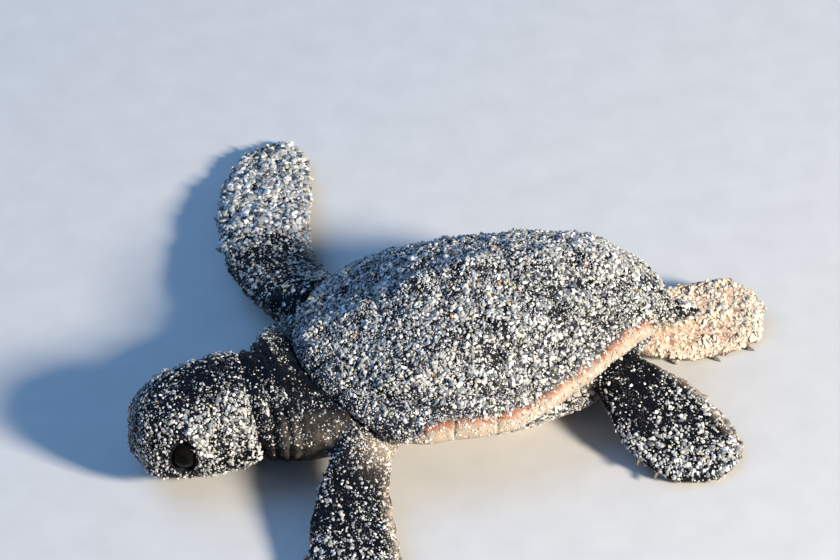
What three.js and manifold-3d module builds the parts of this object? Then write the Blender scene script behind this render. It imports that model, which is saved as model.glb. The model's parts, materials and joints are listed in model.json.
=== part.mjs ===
// A loggerhead turtle hatchling at life size, crawling: shell, head, neck, trunk, tail, flippers and claws.
// Millimetres, +Z up. The head faces -Y, the animal's left is +X, and it rests on the plane z = 0.
import * as THREE from 'three';
import { mergeVertices } from 'three/addons/utils/BufferGeometryUtils.js';
import Module from 'manifold-3d';

const wasm = await Module();
wasm.setup();

// ---------------------------------------------------------------- driving dimensions

const GAP = 0.3; // the thin cut between two neighbouring pieces
const GROW = 0.35; // how much a piece is fattened before it is cut out of its neighbour

const SHELL = {
  length: 44.5, // straight length of the carapace, nuchal edge to tail notch
  width: 35, // straight width of the carapace
  rise: 9.8, // height of the crown over the rim
  wall: 1.7, // thickness of the plates over the back
  edge: 2.0, // height of the blunt outer edge
  dome: 1.8, // power of the dome's falling off: 2 is a paraboloid, more is flatter on top
  band: 0.84, // share of the outline where the marginal plates begin
  serration: 0.012, // depth of the notches between the marginal plates, as a share of the outline
};
const NUCHAL_HALF_WIDTH = 4.8;
const MARGINALS_PER_SIDE = 12;

const PLASTRON = { length: 35, width: 27, front: -17.5, wall: 1.7, flat: 0.55, bridge: 6.2 };

const HEAD = { length: 18.8, width: 14.4, height: 12.4, jawGap: 0.3 };
const EYE = { radius: 2.1, side: 4.6, behindSnout: 6.3, up: 0.3 };
const CLAW = { length: 1.15, radius: 0.37 };

// ---------------------------------------------------------------- colours

const COLOURS = {
  scute: 0x34343a,
  rim: 0xb98a66,
  plastron: 0xd8c3a0,
  skin: 0x1f2229,
  sole: 0xc9a283,
  eye: 0x060607,
  claw: 0x5a4a3c,
};

function finish(colour, roughness = 0.75) {
  return new THREE.MeshStandardMaterial({ color: colour, roughness, metalness: 0 });
}

// ---------------------------------------------------------------- tools

const { clamp, lerp } = THREE.MathUtils;

/** A smooth function of t in 0..1 through values spaced evenly along it. */
function along(...values) {
  const curve = new THREE.SplineCurve(values.map((value, i) => new THREE.Vector2(i, value)));
  return (t) => curve.getPoint(clamp(t, 0, 1)).y;
}

/** A geometry with only positions, and one vertex wherever several coincide. */
function welded(geometry) {
  geometry.deleteAttribute('normal');
  geometry.deleteAttribute('uv');
  return mergeVertices(geometry, 1e-4);
}

/** A closed three.js geometry as a manifold-3d solid. */
function solidOf(geometry) {
  const shape = welded(geometry);
  return new wasm.Manifold(new wasm.Mesh({
    numProp: 3,
    vertProperties: new Float32Array(shape.getAttribute('position').array),
    triVerts: new Uint32Array(shape.index.array),
  }));
}

/** The largest piece of a solid as a named mesh. Crumbs left by a cut are dropped. */
function meshOf(name, solid, material) {
  const piece = solid.decompose().reduce((most, body) => (body.volume() > most.volume() ? body : most));
  const { numProp, numVert, vertProperties, triVerts } = piece.getMesh();
  const positions = new Float32Array(numVert * 3);
  for (let i = 0; i < numVert; i++) {
    positions.set(vertProperties.subarray(i * numProp, i * numProp + 3), i * 3);
  }
  const geometry = new THREE.BufferGeometry();
  geometry.setAttribute('position', new THREE.BufferAttribute(positions, 3));
  geometry.setIndex(new THREE.BufferAttribute(triVerts, 1));
  geometry.computeVertexNormals();
  const mesh = new THREE.Mesh(geometry, material);
  mesh.name = name;
  return mesh;
}

/** The welded geometry with every vertex moved to place(vertex). */
function warp(geometry, place) {
  const shape = welded(geometry);
  const position = shape.getAttribute('position');
  const vertex = new THREE.Vector3();
  for (let i = 0; i < position.count; i++) {
    const moved = place(vertex.fromBufferAttribute(position, i));
    position.setXYZ(i, moved.x, moved.y, moved.z);
  }
  return shape;
}

/** A closed loft: place(t, across, up) puts the point of the section at share t of the length. */
function loft(sides, rings, place) {
  return warp(new THREE.SphereGeometry(1, sides, rings), ({ x, y, z }) => {
    const reach = Math.hypot(x, z);
    const open = reach > 1e-4;
    return place(Math.acos(clamp(y, -1, 1)) / Math.PI, open ? x / reach : 0, open ? z / reach : 0);
  });
}

/** 1 along a loft, rounding off to 0 over the share `reach` at each end. */
function roundedEnds(t, reach) {
  const share = clamp(Math.min(t, 1 - t) / reach, 0, 1);
  return Math.sqrt(1 - (1 - share) ** 2);
}

/** A loop of plan points moved inwards by a distance. The loop runs counter-clockwise. */
function inset(loop, distance) {
  return loop.map((point, i) => {
    const before = loop[(i + loop.length - 1) % loop.length];
    const after = loop[(i + 1) % loop.length];
    const edgeIn = point.clone().sub(before).normalize();
    const edgeOut = after.clone().sub(point).normalize();
    const normal = new THREE.Vector2(-edgeIn.y - edgeOut.y, edgeIn.x + edgeOut.x).normalize();
    const lean = Math.max(0.4, normal.dot(new THREE.Vector2(-edgeIn.y, edgeIn.x)));
    return point.clone().addScaledVector(normal, distance / lean);
  });
}

/** A plan loop on the other side of the animal. */
function mirrored(loop) {
  return loop.map(({ x, y }) => new THREE.Vector2(-x, y)).reverse();
}

/** A vertical prism over a plan loop, as a solid. */
function prism(loop, low = -5, high = 30) {
  const geometry = new THREE.ExtrudeGeometry(new THREE.Shape(loop), {
    depth: high - low,
    bevelEnabled: false,
  });
  return solidOf(geometry.translate(0, 0, low));
}

/** Parts a solid at a plane with a thin cut: [the side that the normal points to, the other side]. */
function part(solid, point, normal) {
  const n = normal.clone().normalize();
  const at = n.dot(point);
  return [
    solid.trimByPlane(n.toArray(), at + GAP / 2),
    solid.trimByPlane(n.clone().negate().toArray(), -at + GAP / 2),
  ];
}

// ---------------------------------------------------------------- the shell's form

const girth = along(1.02, 1.18, 1.06, 0.98, 0.86, 0.79, 0.74); // outline against an ellipse, front to tail
const rimHeight = along(10.6, 8.3, 8.1, 7.9, 8.9, 10.3, 9.2); // height of the outer edge, front to tail
const lengthShare = (y) => clamp(y / SHELL.length + 0.5, 0, 1);

/** Half the carapace's width per unit of the disc coordinate at this length. */
function discWidth(y) {
  return (SHELL.width / 2) * girth(lengthShare(y));
}

/** How far out a plan point is: 0 on the crown, 1 on the outline. */
function outlineShare(x, y) {
  return Math.hypot(x / discWidth(y), y / (SHELL.length / 2));
}

/** The height of the smooth outer surface of the carapace over a plan point. */
function shellTop(x, y) {
  const share = Math.min(outlineShare(x, y), 1.05);
  return rimHeight(lengthShare(y)) + SHELL.rise * (1 - share ** SHELL.dome);
}

/** The plan point at a share of the way out along a bearing; bearing 0 is the left, -90 the front. */
function onShare(share, bearing) {
  const y = share * Math.sin(bearing) * (SHELL.length / 2);
  return new THREE.Vector2(share * Math.cos(bearing) * discWidth(y), y);
}

const VERTEBRAL_SEAMS = [-17.2, -12.2, -5.0, 3.0, 11.2, 18.5];
const VERTEBRAL_HALF_WIDTHS = [3.6, 3.5, 3.7, 3.7, 3.3, 4.2]; // at the seams
const VERTEBRAL_CORNERS = [5.6, 6.0, 6.2, 5.8]; // at mid-length of plates 1 to 4
const middleOf = (i) => (VERTEBRAL_SEAMS[i] + VERTEBRAL_SEAMS[i + 1]) / 2;

/** How high the keels stand over the smooth shell: one along the back and one along each side. */
function keel(x, y) {
  const plate = VERTEBRAL_SEAMS.findIndex((seam, i) => y >= seam && y < VERTEBRAL_SEAMS[i + 1]);
  if (plate < 0) return 0;
  const start = VERTEBRAL_SEAMS[plate];
  const share = (y - start) / (VERTEBRAL_SEAMS[plate + 1] - start);
  const knob = Math.sin(Math.PI * share ** 1.5) ** 2;
  const side = discWidth(y) * 0.52;
  const back = 0.95 * Math.exp(-((x / 1.7) ** 2));
  const sides = 0.55 * Math.exp(-(((Math.abs(x) - side) / 1.6) ** 2));
  return (back + sides) * (0.35 + 0.65 * knob);
}

/** The whole carapace as one blunt-edged cap, fattened by grow on every side and by above on its top. */
function carapaceCap(grow = 0, above = 0) {
  const profile = [];
  const outRings = 10;
  for (let i = 0; i <= outRings; i++) profile.push(new THREE.Vector2(i / outRings, 0));
  profile.push(new THREE.Vector2(1.012, -0.5 * SHELL.edge));
  profile.push(new THREE.Vector2(0.975, -SHELL.edge));
  const inRings = [0.9, 0.66, 0.36, 0];
  for (const share of inRings) profile.push(new THREE.Vector2(share, -SHELL.wall));
  const lathe = new THREE.LatheGeometry(profile.reverse(), 36);
  return warp(lathe, ({ x: a, y: depth, z: b }) => {
    const bearing = Math.atan2(-b, a);
    const notch = Math.abs(Math.sin(bearing * MARGINALS_PER_SIDE)) ** 0.6;
    const rear = clamp(-b, 0, 1);
    const outer = Math.hypot(a, b) > 0.95 ? 1 - SHELL.serration * (1 + rear) * (1 - notch) : 1;
    const spread = depth === -SHELL.wall ? -grow : grow;
    const smooth = new THREE.Vector2(a * discWidth(-b * (SHELL.length / 2)), -b * (SHELL.length / 2));
    const x = smooth.x * outer + a * spread;
    const y = smooth.y * outer - b * spread;
    const relief = depth === 0 ? keel(x, y) + grow + above : -grow;
    return new THREE.Vector3(x, y, shellTop(smooth.x, smooth.y) + depth + relief);
  });
}

// ---------------------------------------------------------------- the carapace's plates

// Where each seam between two costal plates runs out: its y far beyond the marginal plates.
const COSTAL_RUN_OUTS = [-16.5, -8.5, 1.2, 12.5, 26];
const FAR = 26;

/** The plan loop of vertebral plate i, 0 at the front. The outer plates run past the marginals. */
function vertebralLoop(i) {
  const front = i === 0 ? -FAR : VERTEBRAL_SEAMS[i];
  const left = [new THREE.Vector2(VERTEBRAL_HALF_WIDTHS[i], front)];
  if (i === 4) left.push(new THREE.Vector2(FAR, COSTAL_RUN_OUTS[4]));
  else {
    left.push(new THREE.Vector2(VERTEBRAL_CORNERS[i], middleOf(i)));
    left.push(new THREE.Vector2(VERTEBRAL_HALF_WIDTHS[i + 1], VERTEBRAL_SEAMS[i + 1]));
  }
  return [...left, ...mirrored(left)];
}

/** The plan loop of left costal plate i, 0 at the front. It runs past the marginals. */
function costalLoop(i) {
  const inner = [new THREE.Vector2(VERTEBRAL_HALF_WIDTHS[i], i === 0 ? -FAR : VERTEBRAL_SEAMS[i])];
  if (i < 4) inner.unshift(new THREE.Vector2(VERTEBRAL_CORNERS[i], middleOf(i)));
  if (i > 0) inner.push(new THREE.Vector2(VERTEBRAL_CORNERS[i - 1], middleOf(i - 1)));
  const ahead = i === 0 ? -FAR : COSTAL_RUN_OUTS[i - 1];
  return [...inner, new THREE.Vector2(FAR, ahead), new THREE.Vector2(FAR, COSTAL_RUN_OUTS[i])];
}

/** The plan loop of the left row of marginal plates, which also spans the plates inside it. */
function marginalLoop() {
  const half = NUCHAL_HALF_WIDTH + GAP;
  const corners = [[half, -FAR], [FAR, -FAR], [FAR, FAR], [GAP / 2, FAR], [GAP / 2, 0], [half, 0]];
  return corners.map(([x, y]) => new THREE.Vector2(x, y));
}

/** The plan loop of the nuchal plate, in the middle of the front edge. */
function nuchalLoop() {
  const half = NUCHAL_HALF_WIDTH;
  return [[-half, -FAR], [half, -FAR], [half, 0], [-half, 0]].map(([x, y]) => new THREE.Vector2(x, y));
}

function addCarapace(animal) {
  const cap = solidOf(carapaceCap());
  const band = Array.from({ length: 40 }, (_, i) => onShare(SHELL.band, (i * Math.PI) / 20));
  const disc = cap.intersect(prism(inset(band, GAP / 2)));
  const rim = cap.subtract(prism(inset(band, -GAP / 2)));
  const plate = (name, solid, loop, colour) => {
    animal.add(meshOf(`carapace_${name}`, solid.intersect(prism(loop)), finish(colour)));
  };
  for (let i = 0; i < 5; i++) {
    plate(`vertebral_${i + 1}`, disc, inset(vertebralLoop(i), GAP / 2), COLOURS.scute);
    const loop = inset(costalLoop(i), GAP / 2);
    plate(`costal_left_${i + 1}`, disc, loop, COLOURS.scute);
    plate(`costal_right_${i + 1}`, disc, mirrored(loop), COLOURS.scute);
  }
  plate('nuchal', rim, nuchalLoop(), COLOURS.scute);
  plate('marginals_left', rim, marginalLoop(), COLOURS.rim);
  plate('marginals_right', rim, mirrored(marginalLoop()), COLOURS.rim);
}

// ---------------------------------------------------------------- plastron and trunk

const plastronGirth = along(0.98, 0.98, 1.06, 1.12, 1.07, 0.94, 0.84);
const plastronShare = (y) => clamp((y - PLASTRON.front) / PLASTRON.length, 0, 1);
const plastronRise = along(1.6, 2.2, 5.0, PLASTRON.bridge, 4.6, 2.2, 1.4); // height of its edge

/** The underside of the plastron: a true flat in the middle, turned up at the edge. */
function plastronBottom(share, y) {
  const turned = clamp((share - PLASTRON.flat) / (1 - PLASTRON.flat), 0, 1.2);
  return plastronRise(plastronShare(y)) * turned ** 1.8;
}

/** How far out a plan point is on the plastron: 0 in the middle, 1 on its outline. */
function plastronOut(x, y) {
  const half = (PLASTRON.width / 2) * plastronGirth(plastronShare(y));
  return Math.hypot(x / half, (2 * (y - PLASTRON.front)) / PLASTRON.length - 1);
}

/** The plastron as a shallow dish, fattened by grow on every side. */
function plastronDish(grow = 0) {
  const profile = [];
  for (const share of [0, 0.3, 0.55, 0.7, 0.8, 0.9, 0.97]) profile.push(new THREE.Vector2(share, 0));
  profile.push(new THREE.Vector2(1, 0.5 * PLASTRON.wall));
  for (const share of [0.96, 0.85, 0.7, 0.4, 0]) profile.push(new THREE.Vector2(share, PLASTRON.wall));
  const lathe = new THREE.LatheGeometry(profile, 24);
  return warp(lathe, ({ x: a, y: height, z: b }) => {
    const y = PLASTRON.front + ((1 - b) * PLASTRON.length) / 2;
    const x = a * (PLASTRON.width / 2) * plastronGirth(plastronShare(y));
    const base = plastronBottom(Math.hypot(a, b), y);
    const lift = height === 0 ? -grow : grow;
    const spread = height === PLASTRON.wall && Math.hypot(a, b) < 0.9 ? -grow : grow;
    return new THREE.Vector3(x + a * spread, y - b * spread, base + height + lift);
  });
}

/** The soft body inside the shell, which shows in the gaps for the neck, limbs and tail. */
function trunkForm() {
  const [front, rear] = [-20.2, 20];
  return loft(16, 9, (t, across, up) => {
    const y = lerp(rear, front, (1 - Math.cos(Math.PI * t)) / 2);
    const round = Math.sin(Math.PI * t);
    const x = across * round ** 0.35 * discWidth(y) * Math.sqrt(1 - (y / (SHELL.length / 2)) ** 2) * 0.9;
    const ceiling = shellTop(x, y) - SHELL.wall - 0.45;
    const floor = plastronBottom(plastronOut(x, y), y) + PLASTRON.wall + 0.6;
    const middle = Math.min((ceiling + floor) / 2, floor + 1.2);
    const reach = Math.abs(up) ** 0.7 * Math.min(1, round * 2.2);
    return new THREE.Vector3(x, y, up > 0 ? lerp(middle, ceiling, reach) : lerp(middle, floor, reach));
  });
}

// ---------------------------------------------------------------- flippers

/**
 * A limb: a lens-shaped section swept along a smooth path through named points.
 * chord, thick and sweep are smooth functions of the share of the length, and sweep shifts the section
 * towards the leading side; rootWay and tipWay are the leading direction at the root and at the tip.
 */
function limbForm({ path, chord, thick, rootWay, tipWay, sweep, rings }, grow = 0) {
  const curve = new THREE.CatmullRomCurve3(path, false, 'centripetal');
  return loft(12, rings, (turn, across, up) => {
    const t = Math.sin((turn * Math.PI) / 2);
    const tangent = curve.getTangentAt(t);
    const leading = rootWay.clone().lerp(tipWay, THREE.MathUtils.smoothstep(t, 0.1, 0.7));
    leading.addScaledVector(tangent, -leading.dot(tangent)).normalize();
    const upward = new THREE.Vector3().crossVectors(tangent, leading);
    const round = roundedEnds(t, 0.14);
    const wing = across < 0 ? Math.abs(across) ** 1.15 : Math.abs(across) ** 0.85;
    const half = (chord(t) / 2) * round + grow;
    const body = (thick(t) / 2) * roundedEnds(t, 0.08) + grow;
    return curve.getPointAt(t)
      .addScaledVector(leading, Math.sign(across) * wing * half + sweep(t))
      .addScaledVector(upward, up * body * (1 + 0.25 * across));
  });
}

const spot = (x, y, z) => new THREE.Vector3(x, y, z);

const FRONT = {
  chord: along(8.6, 7.0, 7.6, 9.8, 11.0, 11.6, 11.5, 10.2, 8.0),
  thick: along(7.0, 6.0, 4.6, 3.4, 2.7, 2.3, 2.0, 1.7, 1.3),
  sweep: along(0, 0, 0.3, 0.5, 0.4, 0.2, 0, -0.4, -0.9),
  rings: 15,
  elbow: 0.34,
  claws: [0.5, 0.64],
};
const HIND = {
  chord: along(5.6, 5.8, 6.8, 8.6, 10.2, 11, 10.6, 8.4),
  thick: along(5.0, 4.8, 4.2, 3.4, 2.7, 2.2, 1.8, 1.4),
  sweep: along(0, 0, 0, 0.2, 0.3, 0.2, 0, -0.3),
  rings: 13,
  elbow: 0.42,
  claws: [0.72, 0.84],
};

const LIMBS = {
  front_flipper_left: {
    ...FRONT,
    path: [
      spot(7.5, -11, 7), spot(13, -16.4, 5.8), spot(20, -19.6, 3.6),
      spot(29, -21.6, 1.8), spot(40, -24.6, 1.0), spot(51, -28.6, 0.5),
    ],
    rootWay: spot(-0.5, -0.9, 0.1),
    tipWay: spot(-0.3, -0.95, 0),
  },
  front_flipper_right: {
    ...FRONT,
    chord: along(9.4, 10.4, 11.0, 11.2, 11.3, 11.6, 11.5, 10.2, 8.0),
    sweep: along(0, 1.1, 1.3, 0.9, 0.5, 0.2, 0, -0.4, -0.9),
    path: [
      spot(-7.5, -11, 7), spot(-14, -16.6, 6), spot(-25, -19.8, 4),
      spot(-38.6, -18.6, 2.2), spot(-52.8, -15.2, 0.5),
    ],
    rootWay: spot(0.4, -0.9, 0.1),
    tipWay: spot(-0.2, -0.97, 0),
  },
  hind_flipper_left: {
    ...HIND,
    chord: along(5.6, 6.8, 9.2, 11.6, 12.8, 12.8, 11.6, 8.8),
    path: [
      spot(5.5, 9.5, 5.8), spot(9, 13.4, 5), spot(14, 16.8, 3.4), spot(20, 19.3, 1.7), spot(25.4, 20.9, 0.5),
    ],
    rootWay: spot(0.6, -0.8, 0),
    tipWay: spot(0.35, -0.93, 0),
  },
  hind_flipper_right: {
    ...HIND,
    chord: along(6.2, 7.2, 8.6, 9.9, 10.7, 11, 10.6, 8.4),
    sweep: along(0, 0.4, 0.8, 0.7, 0.5, 0.2, 0, -0.3),
    path: [
      spot(-6, 9.5, 5.8), spot(-5.2, 14.5, 4.8), spot(-2.2, 20, 3.2), spot(-1.5, 27, 2.1), spot(-2.6, 34, 2.2),
    ],
    rootWay: spot(1, 0, -0.1),
    tipWay: spot(1, 0, -0.36),
  },
};

/** The claws of a limb: small cones on its leading edge, pointing out and on towards the tip. */
function clawForms(limb, grow = 0) {
  const curve = new THREE.CatmullRomCurve3(limb.path, false, 'centripetal');
  return limb.claws.map((t) => {
    const tangent = curve.getTangentAt(t);
    const leading = limb.rootWay.clone().lerp(limb.tipWay, THREE.MathUtils.smoothstep(t, 0.1, 0.7));
    leading.addScaledVector(tangent, -leading.dot(tangent)).normalize();
    const way = leading.clone().addScaledVector(tangent, 0.7).normalize();
    const cone = new THREE.ConeGeometry(CLAW.radius + grow, CLAW.length + 2 * grow, 8, 1);
    cone.applyQuaternion(new THREE.Quaternion().setFromUnitVectors(spot(0, 1, 0), way));
    const reach = limb.chord(t) / 2 + limb.sweep(t) + 0.1;
    const centre = curve.getPointAt(t).addScaledVector(leading, reach);
    return cone.translate(centre.x, centre.y, centre.z);
  });
}

// ---------------------------------------------------------------- head, neck and tail

const headPose = new THREE.Matrix4().compose(
  spot(4.8, -34.2, 6.4),
  new THREE.Quaternion().setFromEuler(new THREE.Euler(0.14, 0, 0.02, 'ZXY')),
  spot(1, 1, 1),
);
const headWidth = along(0.72, 0.92, 1.0, 1.0, 0.97, 0.89, 0.75, 0.5);
const headTop = along(0.7, 0.9, 1.0, 1.03, 1.03, 0.99, 0.88, 0.66);
const headBottom = along(0.68, 0.84, 0.92, 0.92, 0.86, 0.76, 0.62, 0.44);

/** The head with its jaw closed, from the back of the skull to the tip of the beak. */
function headForm(grow = 0) {
  return loft(18, 13, (t, across, up) => {
    const round = Math.min(1, roundedEnds(t, 0.12));
    const side = Math.sign(across) * Math.abs(across) ** 0.85;
    const rise = Math.sign(up) * Math.abs(up) ** 0.9;
    const tall = (HEAD.height / 2) * (up > 0 ? headTop(t) : headBottom(t)) * round + grow;
    const wide = (HEAD.width / 2) * headWidth(t) * round + grow;
    const y = lerp(HEAD.length / 2 + grow, -HEAD.length / 2 - grow, t);
    return spot(side * wide, y, rise * tall - 0.9 * t * t).applyMatrix4(headPose);
  });
}

/** An eyeball on one side: 1 for the left, -1 for the right. */
function eyeForm(side, grow = 0) {
  const ball = new THREE.SphereGeometry(EYE.radius + grow, 12, 8);
  ball.translate(side * EYE.side, EYE.behindSnout - HEAD.length / 2, EYE.up);
  return ball.applyMatrix4(headPose);
}

/** The block that holds the lower jaw: all below the mouth line and ahead of the corner of the mouth. */
function jawBlock(grow = 0) {
  const block = new THREE.BoxGeometry(24, 14, 8);
  block.rotateX(-0.12);
  block.translate(0, -8.9 + grow, -7.4 + grow);
  return block.applyMatrix4(headPose);
}

/** The neck: a stout tube from inside the shell into the back of the skull, lower where the shell covers it. */
function neckForm(grow = 0) {
  const back = spot(0, 0, 0).setFromMatrixPosition(headPose);
  const path = new THREE.CatmullRomCurve3([
    spot(1, -11.5, 7.2), spot(2.6, -17, 6.8), spot(4.1, -23, 6.5), back.add(spot(-0.1, 3.5, -0.2)),
  ]);
  const leftWidth = along(15, 19.6, 21.4, 19.6, 15.8, 11.6);
  const rightWidth = along(15, 22, 27, 24.4, 17, 11.6); // the loose skin reaches to the right shoulder
  const height = along(7.4, 9.2, 11.2, 12.2, 11.8, 10);
  const crown = along(7.4, 8, 8.2, 7.6, 7.2, 7.5, 10.4, 12, 11.8, 11, 10); // it ducks under the shell's edge
  return loft(18, 9, (t, across, up) => {
    const tangent = path.getTangentAt(t);
    const left = spot(1, 0, 0).addScaledVector(tangent, -tangent.x).normalize();
    const over = new THREE.Vector3().crossVectors(tangent, left);
    const round = roundedEnds(t, 0.12);
    const width = across > 0 ? leftWidth(t) : rightWidth(t);
    const tall = up > 0 ? crown(t) : height(t);
    return path.getPointAt(t)
      .addScaledVector(left, across * ((width / 2) * round + grow))
      .addScaledVector(over, up * ((tall / 2) * round + grow));
  });
}

/** The short pointed tail under the last plates. */
function tailForm(grow = 0) {
  const path = new THREE.CatmullRomCurve3([spot(0, 15, 5.6), spot(0, 20, 5.8), spot(0.2, 26.4, 5)]);
  const girthAt = along(4.6, 4.4, 3.8, 3.0, 1.8);
  return loft(12, 7, (t, across, up) => {
    const round = roundedEnds(t, 0.1);
    const half = (girthAt(t) / 2) * round + grow;
    return path.getPointAt(t).add(spot(across * half * 1.1, 0, -up * half * 0.85));
  });
}

// ---------------------------------------------------------------- putting the flesh together

/** What of a solid is above the ground, so that it rests on a small flat. */
function aboveGround(solid) {
  return solid.trimByPlane([0, 0, 1], 0);
}

/** Takes each of the cutters out of a solid. */
function without(solid, ...cutters) {
  return cutters.reduce((rest, cutter) => rest.subtract(cutter), solid);
}

function addFlesh(animal) {
  const skin = finish(COLOURS.skin);
  const capRoom = solidOf(carapaceCap(GROW, 6));
  const dishRoom = solidOf(plastronDish(GROW));
  const headRoom = solidOf(headForm(GROW));
  const neckRoom = solidOf(neckForm(GROW));
  const tailRoom = solidOf(tailForm(GROW));

  // Head, with the lower jaw parted from it and sockets for the eyes.
  const eyes = { left: 1, right: -1 };
  let head = solidOf(headForm());
  for (const [side, sign] of Object.entries(eyes)) {
    head = head.subtract(solidOf(eyeForm(sign, GAP)));
    animal.add(meshOf(`eye_${side}`, solidOf(eyeForm(sign)), finish(COLOURS.eye, 0.1)));
  }
  animal.add(meshOf('lower_jaw', head.intersect(solidOf(jawBlock())), skin));
  animal.add(meshOf('head', head.subtract(solidOf(jawBlock(HEAD.jawGap))), skin));
  animal.add(meshOf('neck', without(solidOf(neckForm()), headRoom, capRoom, dishRoom), skin));
  animal.add(meshOf('tail', without(solidOf(tailForm()), capRoom, dishRoom), skin));

  // Flippers, each parted at the elbow or knee, with sockets for the claws.
  let trunk = without(solidOf(trunkForm()), neckRoom, tailRoom, capRoom, dishRoom);
  for (const [name, limb] of Object.entries(LIMBS)) {
    const curve = new THREE.CatmullRomCurve3(limb.path, false, 'centripetal');
    let whole = without(solidOf(limbForm(limb)), capRoom, dishRoom, neckRoom, tailRoom);
    whole = aboveGround(whole);
    const rooms = clawForms(limb, GAP);
    clawForms(limb).forEach((claw, i) => {
      whole = whole.subtract(solidOf(rooms[i]));
      animal.add(meshOf(`${name}_claw_${i + 1}`, aboveGround(solidOf(claw)), finish(COLOURS.claw, 0.45)));
    });
    const [blade, root] = part(whole, curve.getPointAt(limb.elbow), curve.getTangentAt(limb.elbow));
    const [rootName, bladeName] = name.startsWith('front') ? ['arm', 'blade'] : ['shank', 'foot'];
    animal.add(meshOf(`${name}_${rootName}`, root, skin));
    animal.add(meshOf(`${name}_${bladeName}`, blade, skin));
    trunk = trunk.subtract(solidOf(limbForm(limb, GROW)));
  }
  animal.add(meshOf('trunk', trunk, skin));
  animal.add(meshOf('plastron', solidOf(plastronDish()), finish(COLOURS.plastron)));
}

// ---------------------------------------------------------------- the whole animal

const animal = new THREE.Group();
addCarapace(animal);
addFlesh(animal);

// The origin is the middle of the footprint, on the ground.
const extent = new THREE.Box3().setFromObject(animal);
const centre = extent.getCenter(new THREE.Vector3());
animal.position.set(-centre.x, -centre.y, -extent.min.z);

export default animal;
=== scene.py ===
"""A loggerhead turtle hatchling, life size, crawling with its flippers spread and crusted with beach sand.

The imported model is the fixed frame. One skin stands for all of its nodes of flesh, the shell is built
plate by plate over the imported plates, and loose grains of sand lie on both. Lengths in this file are
millimetres in the shell's own axes unless a note says otherwise: the origin is on the ground under the
middle of the carapace, the head faces -Y and the animal's left is +X.
"""

import json
import logging
import math
from dataclasses import dataclass, field
from enum import Enum
from typing import Iterable, Sequence

import bmesh
import bpy
import numpy as np
from mathutils import Matrix, Vector, noise
from mathutils.bvhtree import BVHTree

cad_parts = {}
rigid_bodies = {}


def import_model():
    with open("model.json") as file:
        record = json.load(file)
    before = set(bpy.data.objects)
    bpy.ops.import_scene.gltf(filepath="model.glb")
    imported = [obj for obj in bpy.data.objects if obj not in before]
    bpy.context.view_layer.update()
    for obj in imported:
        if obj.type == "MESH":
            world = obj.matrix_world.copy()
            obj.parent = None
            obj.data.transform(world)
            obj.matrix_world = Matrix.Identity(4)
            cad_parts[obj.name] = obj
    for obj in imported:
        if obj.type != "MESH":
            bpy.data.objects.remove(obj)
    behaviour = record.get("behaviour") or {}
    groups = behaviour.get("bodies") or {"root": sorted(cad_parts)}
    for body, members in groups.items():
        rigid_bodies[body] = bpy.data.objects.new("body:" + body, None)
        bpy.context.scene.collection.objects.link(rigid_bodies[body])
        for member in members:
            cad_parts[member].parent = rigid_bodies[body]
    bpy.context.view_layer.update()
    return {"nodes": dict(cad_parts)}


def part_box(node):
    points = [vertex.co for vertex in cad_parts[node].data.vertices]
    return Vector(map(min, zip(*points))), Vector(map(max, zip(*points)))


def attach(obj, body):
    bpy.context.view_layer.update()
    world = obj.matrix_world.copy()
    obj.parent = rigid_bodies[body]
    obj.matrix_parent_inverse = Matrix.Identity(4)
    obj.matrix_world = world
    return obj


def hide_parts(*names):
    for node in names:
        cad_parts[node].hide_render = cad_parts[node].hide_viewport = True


logging.basicConfig(level=logging.INFO, format="%(name)s: %(message)s")
LOG = logging.getLogger("hatchling")

MM = 0.001  # metres in a millimetre
WELD = 1e-6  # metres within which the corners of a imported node's facets are merged
MERGE = 1e-7  # the same for a finished form
BODY = "root"

Array = np.ndarray
Triple = tuple[float, float, float]
Colour = tuple[float, float, float, float]
Mesh = bpy.types.Mesh
Object = bpy.types.Object
Material = bpy.types.Material
Socket = bpy.types.NodeSocket


# ------------------------ numbers and curves


def smoothstep(low: float, high: float, value: Array) -> Array:
    """Returns 0 below low, 1 above high and a smooth ramp between."""
    share = np.clip((value - low) / (high - low), 0.0, 1.0)
    return share * share * (3.0 - 2.0 * share)


def bell(value: Array, width: float) -> Array:
    """Returns a bump that is 1 at 0 and falls off over about the width."""
    return np.exp(-((value / width) ** 2))


def between(t: Array, start: float, end: float, first: Array, last: Array) -> Array:
    """Returns the value at t on a straight run from the first value at start to the last at end."""
    return (end - t) / (end - start) * first + (t - start) / (end - start) * last


def unit(way: Array) -> Array:
    """Returns the direction of a vector, with length 1."""
    return way / np.linalg.norm(way)


def fine_noise(points: Array, cell: float, octaves: int) -> Array:
    """Samples smooth noise at each point.

    Args:
        points: places, one a row.
        cell: size of the largest features, in the same unit.
        octaves: how many finer layers are added.

    Returns:
        One value a point, from about -1 to 1.
    """
    scaled = np.asarray(points, float) / cell
    return np.array([noise.fractal(Vector(p), 0.9, 2.1, octaves) for p in scaled])


def cell_cracks(points: Array, cell: float) -> Array:
    """Measures how far each point is from the border of the irregular cell that it lies in.

    Args:
        points: places, one a row.
        cell: size of a cell, in the same unit.

    Returns:
        The distance in cells: 0 on a border and about 0.5 in the middle of a cell.
    """
    scaled = np.asarray(points, float) / cell
    nearest = [noise.voronoi(Vector(p))[0] for p in scaled]
    return np.array([d[1] - d[0] for d in nearest])


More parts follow.
